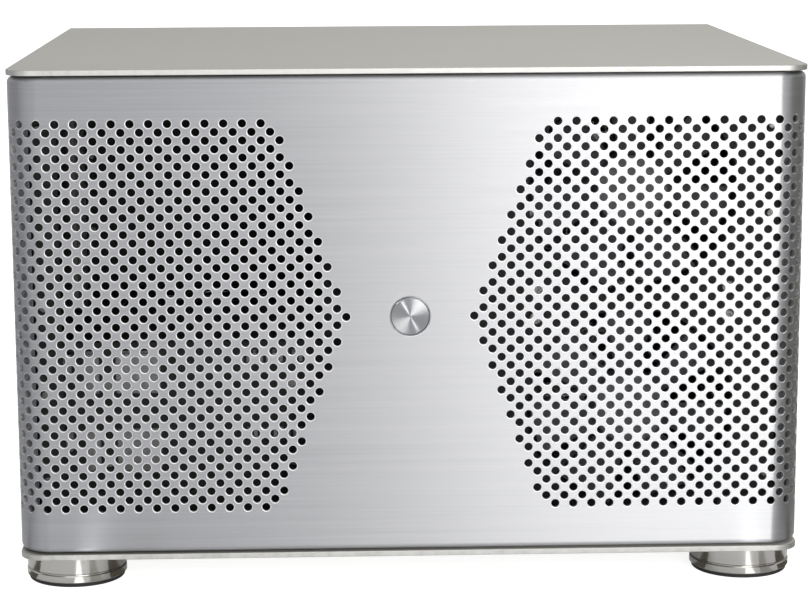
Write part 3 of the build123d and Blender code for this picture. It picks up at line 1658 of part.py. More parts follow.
front_frame = fan_frame(fan_size, fan_hole_pitch, hub_radius)
front_rotor = fan_rotor(fan_size, hub_radius)
cooler_frame = fan_frame(cooler_fan_size, cooler_fan_hole_pitch, cooler_hub_radius)
guard = fan_guard(fan_size, fan_hole_pitch)
right_panel = make_side_panel()
right_studs = make_side_studs()

nodes = {
    "front_panel": make_front_panel(),
    "front_panel_studs": make_front_studs(),
    "power_button": make_power_button(),
    "button_housing": make_button_housing(),
    "button_spring": make_button_spring(),
    "power_switch": make_power_switch(),
    "right_side_panel": right_panel,
    "right_panel_studs": right_studs,
    "left_side_panel": mirrored(right_panel),
    "left_panel_studs": [mirrored(stud) for stud in right_studs],
    "top_cover": plate(cover_low, case_height),
    "top_cover_studs": make_cover_studs(),
    "base_plate": make_base_plate(),
    "foot_bodies": [make_foot(x, y) for x, y in foot_places],
    "foot_pads": [make_foot_pad(x, y) for x, y in foot_places],
    "foot_screws": [make_foot_screw(x, y) for x, y in foot_places],
    "chassis_floor": make_chassis_floor(),
    "front_bulkhead": make_front_bulkhead(),
    "rear_wall": make_rear_wall(),
    "board_tray": make_board_tray(),
    "frame_posts": make_frame_posts(),
    "frame_rivets": make_frame_rivets(),
    "top_rails": make_top_rails(),
    "snap_clips": make_snap_clips(),
    "front_fan_frames": [place * front_frame for place in front_fan_planes],
    "lower_front_fan_rotor": front_fan_planes[0] * front_rotor,
    "upper_front_fan_rotor": front_fan_planes[1] * front_rotor,
    "rear_fan_frame": rear_fan_plane * front_frame,
    "rear_fan_rotor": rear_fan_plane * front_rotor,
    "fan_guards": [rear_guard_plane * guard, psu_guard_plane * guard],
    "fan_screws": make_fan_screws(),
    "motherboard": make_motherboard(),
    "board_standoffs": make_standoffs(),
    "machine_screws": make_machine_screws(),
    "processor_socket": make_processor_socket(),
    "cooler_base": make_cooler_base(),
    "heat_pipes": [heat_pipe(y, pipe_radius) for y in pipe_rows],
    "cooler_fins": make_cooler_fins(),
    "cooler_fan_frame": cooler_fan_plane * cooler_frame,
    "cooler_fan_rotor": cooler_fan_plane * fan_rotor(cooler_fan_size, cooler_hub_radius),
    "memory_sockets": make_memory_sockets(),
    "memory_modules": make_memory_modules(),
    "expansion_sockets": make_expansion_sockets(),
    "board_connectors": make_board_connectors(),
    "board_heatsinks": make_board_heatsinks(),
    "rear_ports": make_rear_ports(),
    "network_port": make_network_port(),
    "port_shield": make_port_shield(),
    "slot_covers": make_slot_covers(),
    "slot_thumbscrews": make_thumbscrews(),
    "psu_case": make_psu_case(),
    "psu_cover": make_psu_cover(),
    "psu_board": make_psu_board(),
    "psu_fan_frame": psu_fan_plane * front_frame,
    "psu_fan_rotor": psu_fan_plane * front_rotor,
    "mains_inlet": make_mains_inlet(),
    "switch_frame": make_switch_frame(),
    "mains_rocker": make_rocker(),
    "drive_cage": make_drive_cage(),
    "hard_drives": [make_hard_drive(low) for low in drive_lows],
}

os.makedirs("parts", exist_ok=True)
for name, shape in nodes.items():
    export_step(solids_of(shape), f"parts/{name}.step")
print(len(nodes), "nodes written")
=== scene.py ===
import json
import math
from contextlib import contextmanager

import bmesh
import bpy
from bpy.props import FloatProperty, FloatVectorProperty, IntProperty, PointerProperty
from mathutils import Matrix, Vector


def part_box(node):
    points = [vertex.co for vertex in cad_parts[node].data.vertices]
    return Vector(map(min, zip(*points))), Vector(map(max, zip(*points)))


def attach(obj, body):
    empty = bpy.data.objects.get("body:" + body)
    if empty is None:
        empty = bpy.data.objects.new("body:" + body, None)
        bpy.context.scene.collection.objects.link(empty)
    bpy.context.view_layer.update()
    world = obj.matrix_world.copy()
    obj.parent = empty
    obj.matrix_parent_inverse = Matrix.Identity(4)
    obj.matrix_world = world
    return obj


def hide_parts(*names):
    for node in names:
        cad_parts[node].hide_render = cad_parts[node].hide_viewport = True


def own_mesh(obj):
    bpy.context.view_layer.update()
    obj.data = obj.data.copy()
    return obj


bl_info = {
    "name": "Wide Cube Computer",
    "version": (1, 0, 0),
    "blender": (4, 5, 0),
    "location": "View3D > Sidebar > Computer",
    "description": "Dresses the frame of a wide aluminium desktop computer: skins, button, feet and finishes",
    "category": "Object",
}

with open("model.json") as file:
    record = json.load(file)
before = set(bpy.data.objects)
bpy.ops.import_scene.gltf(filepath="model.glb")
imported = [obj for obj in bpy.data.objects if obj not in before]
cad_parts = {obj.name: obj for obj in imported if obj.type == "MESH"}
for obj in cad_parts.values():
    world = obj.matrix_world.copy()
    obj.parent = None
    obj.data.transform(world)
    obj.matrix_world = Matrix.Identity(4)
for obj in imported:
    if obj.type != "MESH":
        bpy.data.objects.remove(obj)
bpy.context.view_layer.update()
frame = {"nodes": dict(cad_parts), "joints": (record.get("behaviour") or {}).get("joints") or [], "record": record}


# ---------------------------------------------------------------- settings

def length(name, default, description):
    return FloatProperty(name=name, description=description, default=default, min=0, unit="LENGTH", precision=5)


def colour(name, default, description):
    return FloatVectorProperty(
        name=name, description=description, default=default, subtype="COLOR", min=0, max=1)


def amount(name, default, description, high=1.0):
    return FloatProperty(name=name, description=description, default=default, min=0, max=high)


def degrees(name, default, description):
    return FloatProperty(name=name, description=description, default=default)


def position(name, default, description):
    return FloatVectorProperty(name=name, description=description, default=default, subtype="XYZ")


class SkinSettings(bpy.types.PropertyGroup):
    """Sizes of the folded aluminium skins and of the perforation."""
    corner_radius: length("Corner radius", 0.017, "Outer radius of the front panel's two corners")
    plate_radius: length("Plate radius", 0.013, "Radius of the plates' two front corners")
    back_radius: length("Back radius", 0.0015, "Radius of the plates' two back corners")
    edge_roll: length("Edge roll", 0.003, "Outer radius of the rolled top and bottom edges")
    front_sheet: length("Front sheet", 0.002, "Thickness of the front panel's sheet")
    side_sheet: length("Side sheet", 0.0015, "Thickness of the side panels' sheet")
    side_break: length("Side break", 0.0002, "Break along the cut edges of the side panels")
    front_lip: length("Front lip", 0.012, "How far the front panel's edges turn inwards")
    plate_edge: length("Plate edge", 0.00035, "Break along the edges of the top cover and the base")
    hole_radius: length("Hole radius", 0.00225, "Radius of a hole of the perforation")
    hole_break: length("Hole break", 0.0004, "Width of the bright bevel round each hole")
    break_slope: amount("Break slope", 0.45, "Depth of the bevel round each hole for each unit of its width")
    pitch_x: length("Pitch across", 0.0097, "Distance between holes in one row")
    pitch_z: length("Pitch down", 0.00894, "Distance between every second row")
    half_gap: length("Half gap", 0.0338, "From the middle of the panel to the tip of the perforation")
    border: length("Border", 0.024, "Plain strip above and below the perforation")
    edge: length("Edge", 0.007, "Plain strip between the perforation and the panel's back edge")
    rows_per_step: IntProperty(name="Rows per step", description="Slope of the chevron", default=3, min=1)


class ButtonSettings(bpy.types.PropertyGroup):
    """Sizes of the turned power button."""
    face_radius: length("Face radius", 0.0101, "Radius of the button's face")
    gap: length("Gap", 0.0004, "Dark ring between the button and the panel")
    rim: length("Rim", 0.0004, "Break round the face")
    mouth: length("Mouth", 0.0005, "Width of the bright bevel round the button's hole")
    crown: length("Crown", 0.0002, "How much the face rises towards its middle")
    dimple: length("Dimple", 0.0004, "Radius of the centre mark left by turning")
    flange_depth: length("Flange depth", 0.0016, "Thickness of the flange behind the panel")
    stem_radius: length("Stem radius", 0.003, "Radius of the stem that meets the switch")


class FootSettings(bpy.types.PropertyGroup):
    """Sizes of the turned feet."""
    waist_radius: length("Body radius", 0.0267, "Radius of the foot above its ring")
    ring_radius: length("Ring radius", 0.027, "Radius of the ring at the bottom")
    ring_height: length("Ring height", 0.004, "Height of the ring")
    groove: length("Groove", 0.0005, "Depth of the line above the ring")
    edge: length("Edge", 0.00045, "Break on the turned edges")
    recess_radius: length("Recess radius", 0.006, "Radius of the screw's recess")
    pad_roll: length("Pad roll", 0.0008, "Rounding of the rubber pad's lower edge")


class FinishSettings(bpy.types.PropertyGroup):
    """Colours of the finishes."""
    skin: colour("Skin", (0.437, 0.442, 0.464), "Brushed aluminium of the front and sides")
    plate: colour("Plate", (0.365, 0.358, 0.338), "Brushed aluminium of the top and base")
    button: colour("Button", (0.28, 0.285, 0.3), "Turned face of the button")
    foot: colour("Foot", (0.5, 0.49, 0.47), "Polished metal of the feet")
    board: colour("Board", (0.012, 0.035, 0.11), "Lacquer of the main board")
    copper: colour("Copper", (0.62, 0.27, 0.16), "Heat pipes and the cooler's base")


class StageSettings(bpy.types.PropertyGroup):
    """The camera, the lamps and the floor."""
    camera_place: position("Camera", (-0.0447, -1.4077, 0.3786), "Where the camera stands")
    camera_pitch: degrees("Pitch", 10.27, "How far the camera looks down, in degrees")
    camera_yaw: degrees("Yaw", 1.915, "How far the camera looks to the right, in degrees")
    camera_roll: degrees("Roll", -0.248, "How far the camera leans, in degrees")
    lens: FloatProperty(name="Lens", description="Focal length in millimetres", default=106.33, min=1)
    sky: amount("Sky", 0.84, "Brightness that metal mirrors from the plain studio", 5)
    fill: amount("Fill", 0.6, "Brightness of the plain studio on matt surfaces", 5)
    key: amount("Key", 28.5, "Power of the large soft lamp at the front right, in watts", 500)
    key_tint: colour("Key tint", (1.0, 0.985, 0.94), "Colour of the key lamp")
    key_place: position("Key place", (0.59, -2.28, 0.42), "Where the key lamp stands")
    key_aim: position("Key aim", (0.1, -0.17, 0.12), "What the key lamp points at")
    top: amount("Top", 8.0, "Power of the soft lamp above, in watts", 500)
    top_place: position("Top place", (0, -0.3, 2.0), "Where the top lamp hangs")
    top_aim: position("Top aim", (0, 0, 0.2), "What the top lamp points at")
    spot: amount("Spot", 50.0, "Power of the narrow lamp that only the button catches, in watts", 500)
    spot_reach: position("Spot reach", (-0.39, -0.7, 0.42), "From the button's face to the narrow lamp")
    glow: amount("Glow", 0.85, "How far the floor is lifted to white where the camera looks", 5)
    mirrored: amount("Mirrored glow", 0.15, "How far the floor is lifted where metal mirrors it", 5)
    left_card: colour("Left card", (0.42, 0.42, 0.43), "Grey card that the left corner mirrors")
    right_card: colour("Right card", (0.21, 0.205, 0.17), "Grey card that the right corner mirrors")
    back_card: colour("Back card", (0.58, 0.575, 0.56), "Pale card behind the case that the top mirrors")
    flag: colour("Flag", (0.1, 0.09, 0.07), "Dark strips round the feet, which their walls mirror")
    shade: colour("Shade", (0.42, 0.41, 0.38), "Grey strips round the feet, which their walls mirror")
    gleam: amount("Gleam", 2.4, "Brightness of the white strips round the feet", 5)
    floor: colour("Floor", (0.8, 0.8, 0.8), "The pale floor")


GROUPS = {
    "computer_skin": SkinSettings,
    "computer_button": ButtonSettings,
    "computer_foot": FootSettings,
    "computer_finish": FinishSettings,
    "computer_stage": StageSettings,
}


# ---------------------------------------------------------------- modelling tools

TURNED_SIDES = 96
SAME_POINT = 1e-6
SAME_LEVEL = 1e-5
RIGHT = Vector((1, 0, 0))
BACK = Vector((0, 1, 0))
UP = Vector((0, 0, 1))


def select_only(*pieces):
    """Selects the pieces and nothing else, the first of them active."""
    bpy.ops.object.select_all(action="DESELECT")
    for piece in pieces:
        piece.select_set(True)
    bpy.context.view_layer.objects.active = pieces[0]


@contextmanager
def editing(piece):
    """Edit mode on one piece, with nothing selected at the start."""
    select_only(piece)
    bpy.ops.object.mode_set(mode="EDIT")
    bpy.ops.mesh.select_mode(type="EDGE")
    bpy.ops.mesh.select_all(action="DESELECT")
    yield bmesh.from_edit_mesh(piece.data)
    bpy.ops.object.mode_set(mode="OBJECT")


def pick_edges(mesh, test):
    """Selects the edges whose two ends pass a test."""
    for edge in mesh.edges:
        if test(edge.verts[0].co, edge.verts[1].co):
            edge.select_set(True)
    mesh.select_flush_mode()


def pick_faces(mesh, test):
    """Selects the faces whose centre and normal pass a test."""
    bpy.ops.mesh.select_mode(type="FACE")
    for face in mesh.faces:
        if test(face.calc_center_median(), face.normal):
            face.select_set(True)
    mesh.select_flush_mode()


def near(a, b):
    return abs(a - b) < SAME_LEVEL


def settle(name):
    """The piece that was just added, named, with its place put into its mesh."""
    piece = bpy.context.object
    piece.name = piece.data.name = name
    bpy.ops.object.transform_apply(location=True, rotation=True, scale=True)
    return piece


def add_box(name, low, high):
    bpy.ops.object.select_all(action="DESELECT")
    bpy.ops.mesh.primitive_cube_add(size=1, location=(Vector(low) + Vector(high)) / 2)
    bpy.context.object.scale = Vector(high) - Vector(low)
    return settle(name)


def turned(name, profile, centre, along, out):
    """A turned piece: a profile of points, each so far out and so far along, drawn one by one and spun round."""
    centre = Vector(centre)
    points = [centre + out * radius + along * height for radius, height in profile]
    if profile[0][0] > 0:
        points.append(points[0])
    bpy.ops.object.select_all(action="DESELECT")
    bpy.ops.mesh.primitive_plane_add(size=0.001)
    piece = settle(name)
    with editing(piece) as mesh:
        bpy.ops.mesh.select_mode(type="VERT")
        bpy.ops.mesh.select_all(action="SELECT")
        bpy.ops.mesh.merge(type="CENTER")
        bpy.ops.transform.translate(value=points[0])
        for start, end in zip(points, points[1:]):
            bpy.ops.mesh.extrude_region_move(TRANSFORM_OT_translate={"value": end - start})
        bpy.ops.mesh.select_all(action="SELECT")
        bpy.ops.mesh.spin(steps=TURNED_SIDES, angle=2 * math.pi, center=centre, axis=along)
        bpy.ops.mesh.select_all(action="SELECT")
        bpy.ops.mesh.remove_doubles(threshold=SAME_POINT)
        bpy.ops.mesh.normals_make_consistent(inside=False)
    return piece


def bevel_edges(piece, test, radius, segments):
    with editing(piece) as mesh:
        pick_edges(mesh, test)
        bpy.ops.mesh.bevel(offset=radius, offset_type="OFFSET", segments=segments, affect="EDGES")


def drop_faces(piece, test):
    with editing(piece) as mesh:
        pick_faces(mesh, test)
        bpy.ops.mesh.delete(type="FACE")


def apply_modifier(piece, kind, **settings):
    select_only(piece)
    modifier = piece.modifiers.new(kind.title(), kind)
    for name, value in settings.items():
        setattr(modifier, name, value)
    bpy.ops.object.modifier_apply(modifier=modifier.name)


def cut(piece, *cutters):
    """Takes the cutters out of the piece, and the cut faces get the cutters' material.

    The cutters don't touch each other.
    """
    cutter = join("cutter", cutters)
    apply_modifier(
        piece, "BOOLEAN", operation="DIFFERENCE", object=cutter, solver="MANIFOLD", material_mode="TRANSFER")
    bpy.data.objects.remove(cutter)


def join(name, pieces):
    if len(pieces) > 1:
        select_only(*pieces)
        bpy.ops.object.join()
    joined = pieces[0]
    joined.name = joined.data.name = name
    return joined


def copies(name, pattern, places):
    """One mesh that holds a copy of the pattern at each place, and the pattern is used up."""
    corners = [vertex.co.copy() for vertex in pattern.data.vertices]
    faces = [tuple(face.vertices) for face in pattern.data.polygons]
    points, sides = [], []
    for place in places:
        start = len(points)
        points += [place @ corner for corner in corners]
        sides += [tuple(start + n for n in face) for face in faces]
    data = bpy.data.meshes.new(name)
    data.from_pydata(points, [], sides)
    data.validate()
    piece = bpy.data.objects.new(name, data)
    bpy.context.scene.collection.objects.link(piece)
    bpy.data.objects.remove(pattern)
    return piece


def smooth(piece, angle=35.0):
    """Smooth shading up to an angle, with the flat faces kept flat."""
    select_only(piece)
    bpy.ops.object.shade_smooth_by_angle(angle=math.radians(angle))
    apply_modifier(piece, "WEIGHTED_NORMAL", mode="FACE_AREA", weight=80, keep_sharp=True)


def finish_piece(piece, body, material, slot, *nodes):
    """Gives a finished piece its material, the body it rides on and the nodes it stands for."""
    if not piece.data.materials:
        piece.data.materials.append(material)
    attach(piece, body)
    if nodes:
        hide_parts(*nodes)
    return piece


def cover(material, *pieces):
    """Gives whole pieces one material."""
    for piece in pieces:
        piece.data.materials.append(material)


def cover_faces(piece, material, test):
    """Gives the faces whose normal passes a test a material of their own."""
    piece.data.materials.append(material)
    for face in piece.data.polygons:
        if test(face.normal):
            face.material_index = len(piece.data.materials) - 1


# ---------------------------------------------------------------- finishes

# The colour sockets of a mix node, which share their names with its other sockets
MIX_FIRST, MIX_SECOND, MIX_RESULT = 6, 7, 2


def plug(tree, socket, value):
    """Links an output to a socket, or sets the socket to a value."""
    if isinstance(value, bpy.types.NodeSocket):
        tree.links.new(value, socket)
    else:
        socket.default_value = value


class Finish:
    """A material under construction: one shader, and the patterns that feed it."""

    def __init__(self, name, tone, roughness, metallic=0.0, **sockets):
        self.material = bpy.data.materials.new(name)
        self.material.use_nodes = True
        self.tree = self.material.node_tree
        self.shader = self.tree.nodes["Principled BSDF"]
        self.base = (*tone[:3], 1)
        self.set("Base Color", self.base)
        self.set("Roughness", roughness)
        self.set("Metallic", metallic)
        for socket, value in sockets.items():
            self.set(socket.replace("_", " ").title(), value)

    def set(self, socket, value):
        self.shader.inputs[socket].default_value = value

    def add(self, kind, inputs=None, **settings):
        node = self.tree.nodes.new(kind)
        for name, value in settings.items():
            setattr(node, name, value)
        for name, value in (inputs or {}).items():
            plug(self.tree, node.inputs[name], value)
        return node

    def feed(self, socket, output):
        self.tree.links.new(output, self.shader.inputs[socket])

    def place(self, scale=(1, 1, 1), shift=(0, 0, 0), turn=(0, 0, 0)):
        """The piece's own coordinates, stretched, shifted and turned."""
        where = self.add("ShaderNodeTexCoord").outputs["Object"]
        inputs = {"Vector": where, "Scale": scale, "Location": shift, "Rotation": turn}
        return self.add("ShaderNodeMapping", inputs).outputs["Vector"]

    def noise(self, scale, stretch=(1, 1, 1), detail=3.0, roughness=0.6):
        inputs = {"Vector": self.place(stretch), "Scale": scale, "Detail": detail, "Roughness": roughness}
        return self.add("ShaderNodeTexNoise", inputs).outputs["Fac"]

    def spread(self, value, low, high, start=0.3, end=0.7):
        """A value mapped onto a range."""
        inputs = {"Value": value, "From Min": start, "From Max": end, "To Min": low, "To Max": high}
        return self.add("ShaderNodeMapRange", inputs).outputs["Result"]

    def math(self, operation, a, b):
        return self.add("ShaderNodeMath", {0: a, 1: b}, operation=operation).outputs["Value"]

    def blend(self, first, second, share=0.5):
        """Two patterns added up, the first with the given share."""
        return self.math("ADD", self.math("MULTIPLY", first, share), self.math("MULTIPLY", second, 1 - share))

    def mix(self, share, first, second):
        """Two colours with alpha, or colour outputs, mixed by a share."""
        node = self.add("ShaderNodeMix", {"Factor": share, MIX_FIRST: first, MIX_SECOND: second}, data_type="RGBA")
        return node.outputs[MIX_RESULT]

    def shade(self, value, low, high, start=0.3, end=0.7):
        """The base colour made darker and lighter by a pattern."""
        dark = (*(c * low for c in self.base[:3]), 1)
        light = (*(min(1.0, c * high) for c in self.base[:3]), 1)
        self.feed("Base Color", self.mix(self.spread(value, 0.0, 1.0, start, end), dark, light))

    def roughen(self, value, low, high, start=0.3, end=0.7):
        self.feed("Roughness", self.spread(value, low, high, start, end))

    def bump(self, value, strength, distance):
        inputs = {"Height": value, "Strength": strength, "Distance": distance}
        self.feed("Normal", self.add("ShaderNodeBump", inputs).outputs["Normal"])

    def tangent(self, direction):
        """The direction in which highlights are drawn out."""
        self.feed("Tangent", self.add("ShaderNodeCombineXYZ", dict(zip("XYZ", direction))).outputs["Vector"])


def brushed(name, tone, grain, lift, roughness=0.44):
    """Brushed aluminium: fine long scratches across the given stretch, highlights drawn out across them."""
    made = Finish(name, tone, roughness, metallic=1.0, anisotropic=0.9)
    fine = made.noise(1.0, grain, detail=5.0, roughness=0.75)
    broad = made.noise(0.3, grain, detail=2.0)
    both = made.blend(fine, broad, 0.6)
    made.shade(both, 0.91, 1.08, 0.35, 0.65)
    made.roughen(both, roughness - 0.05, roughness + 0.06)
    made.bump(fine, 0.05, 0.0001)
    made.tangent(lift)
    return made.material


def turned_face(name, tone, node):
    """The lathe-turned face of a node: fine rings, and highlights in wedges that start at the node's middle."""
    made = Finish(name, tone, roughness=0.27, metallic=1.0, anisotropic=0.97, anisotropic_rotation=0.022)
    low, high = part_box(node)
    centred = made.place(shift=-(low + high) / 2)
    flat = made.add("ShaderNodeVectorMath", {0: centred, 1: (1, 0, 1)}, operation="MULTIPLY").outputs["Vector"]
    made.feed("Tangent", made.add("ShaderNodeVectorMath", {0: flat}, operation="NORMALIZE").outputs["Vector"])
    radius = made.add("ShaderNodeVectorMath", {0: flat}, operation="LENGTH").outputs["Value"]
    inputs = {"W": radius, "Scale": 9000.0, "Detail": 3.0}
    rings = made.add("ShaderNodeTexNoise", inputs, noise_dimensions="1D").outputs["Fac"]
    made.shade(rings, 0.92, 1.05)
    made.bump(rings, 0.06, 0.00008)
    return made.material


def polished(name, tone):
    """Fine turned metal: turning lines draw each highlight out along the axis."""
    made = Finish(name, tone, roughness=0.16, metallic=1.0, anisotropic=0.8)
    lines = made.noise(1.0, (8, 8, 6000), detail=2.0)
    made.shade(lines, 0.94, 1.04)
    made.roughen(lines, 0.13, 0.19)
    made.bump(lines, 0.03, 0.00005)
    made.tangent(UP)
    return made.material


def rolled_sheet(name, tone, roughness=0.42):
    """Plain rolled sheet metal: faint rolling streaks and soft blotches."""
    made = Finish(name, tone, roughness, metallic=1.0)
    streaks = made.noise(1.0, (60, 60, 500), detail=3.0)
    blotches = made.noise(14.0, detail=3.0)
    both = made.blend(streaks, blotches)
    made.shade(both, 0.9, 1.08)
    made.roughen(both, roughness - 0.08, roughness + 0.08)
    made.bump(streaks, 0.03, 0.0001)
    return made.material


def painted(name, tone, roughness=0.55, grain=2600.0):
    """Powder-coated sheet with its fine orange peel."""
    made = Finish(name, tone, roughness)
    peel = made.noise(grain, detail=2.0)
    made.shade(made.noise(25.0), 0.85, 1.15)
    made.roughen(peel, roughness - 0.08, roughness + 0.08)
    made.bump(peel, 0.25, 0.00006)
    return made.material


def moulded(name, tone, roughness=0.5, grain=5200.0):
    """Injection-moulded plastic with a fine spark texture."""
    made = Finish(name, tone, roughness)
    spark = made.noise(grain, detail=2.0)
    made.shade(made.noise(40.0), 0.85, 1.15)
    made.roughen(spark, roughness - 0.1, roughness + 0.1)
    made.bump(spark, 0.2, 0.00004)
    return made.material


def rubber(name, tone):
    """Matt rubber with a coarse grain."""
    made = Finish(name, tone, roughness=0.8)
    grain = made.noise(3000.0, detail=3.0)
    made.shade(grain, 0.6, 1.5)
    made.bump(grain, 0.4, 0.0001)
    return made.material


def plated(name, tone, roughness=0.25):
    """Zinc or nickel plated steel, slightly cloudy. Also used for the bevels round the holes and for the plates'
    edges, as a metal lighter than their faces that paints part of their highlight.
    """
    made = Finish(name, tone, roughness, metallic=1.0)
    cloud = made.noise(220.0, detail=4.0)
    made.shade(cloud, 0.85, 1.1)
    made.roughen(cloud, roughness - 0.08, roughness + 0.1)
    made.bump(made.noise(3500.0), 0.05, 0.00004)
    return made.material


def circuit_board(name, tone):
    """Lacquered board: rows of tracks under the lacquer and small plated holes."""
    made = Finish(name, tone, roughness=0.32, coat_weight=0.4, coat_roughness=0.2)
    grid = {"Vector": made.place(turn=(0, math.pi / 2, 0)), "Scale": 60.0}
    grid.update({"Mortar Size": 0.018, "Brick Width": 1.7, "Row Height": 0.14})
    runs = made.add("ShaderNodeTexBrick", grid).outputs["Fac"]
    patches = made.spread(made.noise(30.0, detail=2.0), 0.0, 1.0, 0.45, 0.52)
    tracks = made.math("MULTIPLY", runs, patches)
    dots = made.add("ShaderNodeTexVoronoi", {"Vector": made.place(), "Scale": 260.0}).outputs["Distance"]
    holes = made.spread(dots, 1.0, 0.0, 0.1, 0.16)
    over_track = (*(min(1.0, c * 2.6 + 0.01) for c in tone), 1)
    lacquer = made.mix(tracks, made.base, over_track)
    made.feed("Base Color", made.mix(made.math("MULTIPLY", holes, 0.7), lacquer, (0.5, 0.42, 0.25, 1)))
    made.bump(made.math("ADD", tracks, holes), 0.2, 0.0001)
    return made.material


# ---------------------------------------------------------------- skins

PUNCH_SIDES = 16
CORNER_STEPS = 24   # bevel steps round a large corner
ROLL_STEPS = 6      # round a rolled edge or a small corner
SIDE_ROLL_STEPS = 8
BREAK_STEPS = 3     # round a broken edge
SPARE = 0.01        # how far a cutter reaches past the piece


def sheet_place(skin, reach, distance):
    """The point on the front sheet's face at a distance from its middle, and the outward direction there."""
    half, front = reach
    flat = half - skin.corner_radius
    bend = skin.corner_radius * math.pi / 2
    if distance <= flat:
        return Vector((distance, front, 0)), -BACK
    if distance < flat + bend:
        turn = (distance - flat) / skin.corner_radius
        out = Vector((math.sin(turn), -math.cos(turn), 0))
        return Vector((flat, front + skin.corner_radius, 0)) + out * skin.corner_radius, out
    return Vector((half, front + skin.corner_radius + distance - flat - bend, 0)), RIGHT


def hole_places(skin, low, high):
    """Where each hole's punch stands: staggered rows whose inner edge is a chevron, on both halves."""
    middle = (low.z + high.z) / 2
    length_round = high.x - skin.corner_radius * (2 - math.pi / 2) + (high.y - low.y)
    columns = int((length_round - skin.edge - skin.half_gap) / (skin.pitch_x / 2)) + 1
    rows = int(((high.z - low.z) / 2 - skin.border) / (skin.pitch_z / 2))
    places = []
    for column in range(columns):
        point, out = sheet_place(skin, (high.x, low.y), skin.half_gap + column * skin.pitch_x / 2)
        for row in range(-rows, rows + 1):
            if (column + row) % 2 == 0 and column * skin.rows_per_step >= abs(row):
                spot = point + Vector((0, 0, middle + row * skin.pitch_z / 2))
                for side in (1, -1):
                    at = Vector((spot.x * side, spot.y, spot.z))
                    facing = Vector((out.x * side, out.y, 0)).to_track_quat("Z", "Y").to_matrix().to_4x4()
                    places.append(Matrix.Translation(at) @ facing)
    return places


def punch(skin):
    """One punch with the shallow flare that leaves the bright bevel. The sheet's face is at its z = 0."""
    flare = skin.hole_break
    sink = flare * skin.break_slope
    bpy.ops.object.select_all(action="DESELECT")
    bpy.ops.mesh.primitive_cylinder_add(
        vertices=PUNCH_SIDES, radius=skin.hole_radius, depth=2 * skin.front_sheet,
        location=(0, 0, -skin.front_sheet - sink))
    piece = settle("punch")
    with editing(piece) as mesh:
        pick_faces(mesh, lambda centre, normal: normal.z > 0.9)
        bpy.ops.mesh.extrude_region_move(TRANSFORM_OT_translate={"value": (0, 0, 2 * sink)})
        wide = 1 + 2 * flare / skin.hole_radius
        bpy.ops.transform.resize(value=(wide, wide, 1))
    return piece


class COMPUTER_OT_front_panel(bpy.types.Operator):
    """Fold the front panel from one sheet and punch its two perforated fields"""
    bl_idname = "computer.front_panel"
    bl_label = "Front panel"

    def execute(self, context):
        skin = context.scene.computer_skin
        low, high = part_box("front_panel")
        panel = add_box("perforated_front", low, high)
        bevel_edges(panel, lambda a, b: near(a.y, low.y) and near(b.y, low.y) and not near(a.z, b.z),
                    skin.corner_radius, CORNER_STEPS)
        bevel_edges(panel, lambda a, b: near(a.z, b.z) and not (near(a.y, high.y) and near(b.y, high.y)),
                    skin.edge_roll, ROLL_STEPS)
        drop_faces(panel, lambda centre, normal: near(centre.y, high.y))
        apply_modifier(panel, "SOLIDIFY", thickness=skin.front_sheet, offset=-1.0, use_even_offset=True)
        inside = high.x - skin.front_lip
        mouth = add_box("mouth", (-inside, low.y + skin.front_lip, low.z - SPARE),
                        (inside, high.y + SPARE, high.z + SPARE))
        hole = self.button_hole(context, (0, low.y, (low.z + high.z) / 2))
        punches = copies("punches", punch(skin), hole_places(skin, low, high))
        cover(shared("brushed_skin"), panel, mouth)
        # The bevels round the holes and the button's mouth get the lighter metal that paints part of their
        # highlight
        cover(shared("bright_break"), hole, punches)
        cut(panel, mouth, hole, punches)
        smooth(panel)
        finish_piece(panel, "front_skin", shared("brushed_skin"), "brushed_skin", "front_panel")
        return {"FINISHED"}

    @staticmethod
    def button_hole(context, centre):
        """The cutter of the button's hole, with the bevel round its mouth."""
        button = context.scene.computer_button
        depth = 2 * context.scene.computer_skin.front_sheet
        radius = button.face_radius + button.gap
        profile = [(0, depth), (radius, depth), (radius, button.mouth)]
        profile += [(radius + 2 * button.mouth, -button.mouth), (0, -button.mouth)]
        return turned("button_hole", profile, centre, BACK, UP)


class COMPUTER_OT_side_panels(bpy.types.Operator):
    """Fold the two side panels, with their rolled edges and lips"""
    bl_idname = "computer.side_panels"
    bl_label = "Side panels"

    def execute(self, context):
        skin = context.scene.computer_skin
        for name, side, body in (("right_side_panel", 1, "right_skin"), ("left_side_panel", -1, "left_skin")):
            low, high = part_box(name)
            outer = high.x if side > 0 else low.x
            inner = low.x if side > 0 else high.x
            panel = add_box(f"{name}_sheet", low, high)
            bevel_edges(panel, lambda a, b: near(a.x, outer) and near(b.x, outer) and near(a.z, b.z),
                        skin.edge_roll, SIDE_ROLL_STEPS)
            drop_faces(panel, lambda centre, normal: near(centre.x, inner))
            apply_modifier(panel, "SOLIDIFY", thickness=skin.side_sheet, offset=-1.0, use_even_offset=True)
            apply_modifier(panel, "BEVEL", width=skin.side_break, segments=2, limit_method="ANGLE",
                           angle_limit=math.radians(50))
            smooth(panel)
            finish_piece(panel, body, shared("brushed_skin"), "brushed_skin", name)
            cover_faces(panel, shared("black_sheet"), lambda normal: normal.x * side < -0.5)
        return {"FINISHED"}


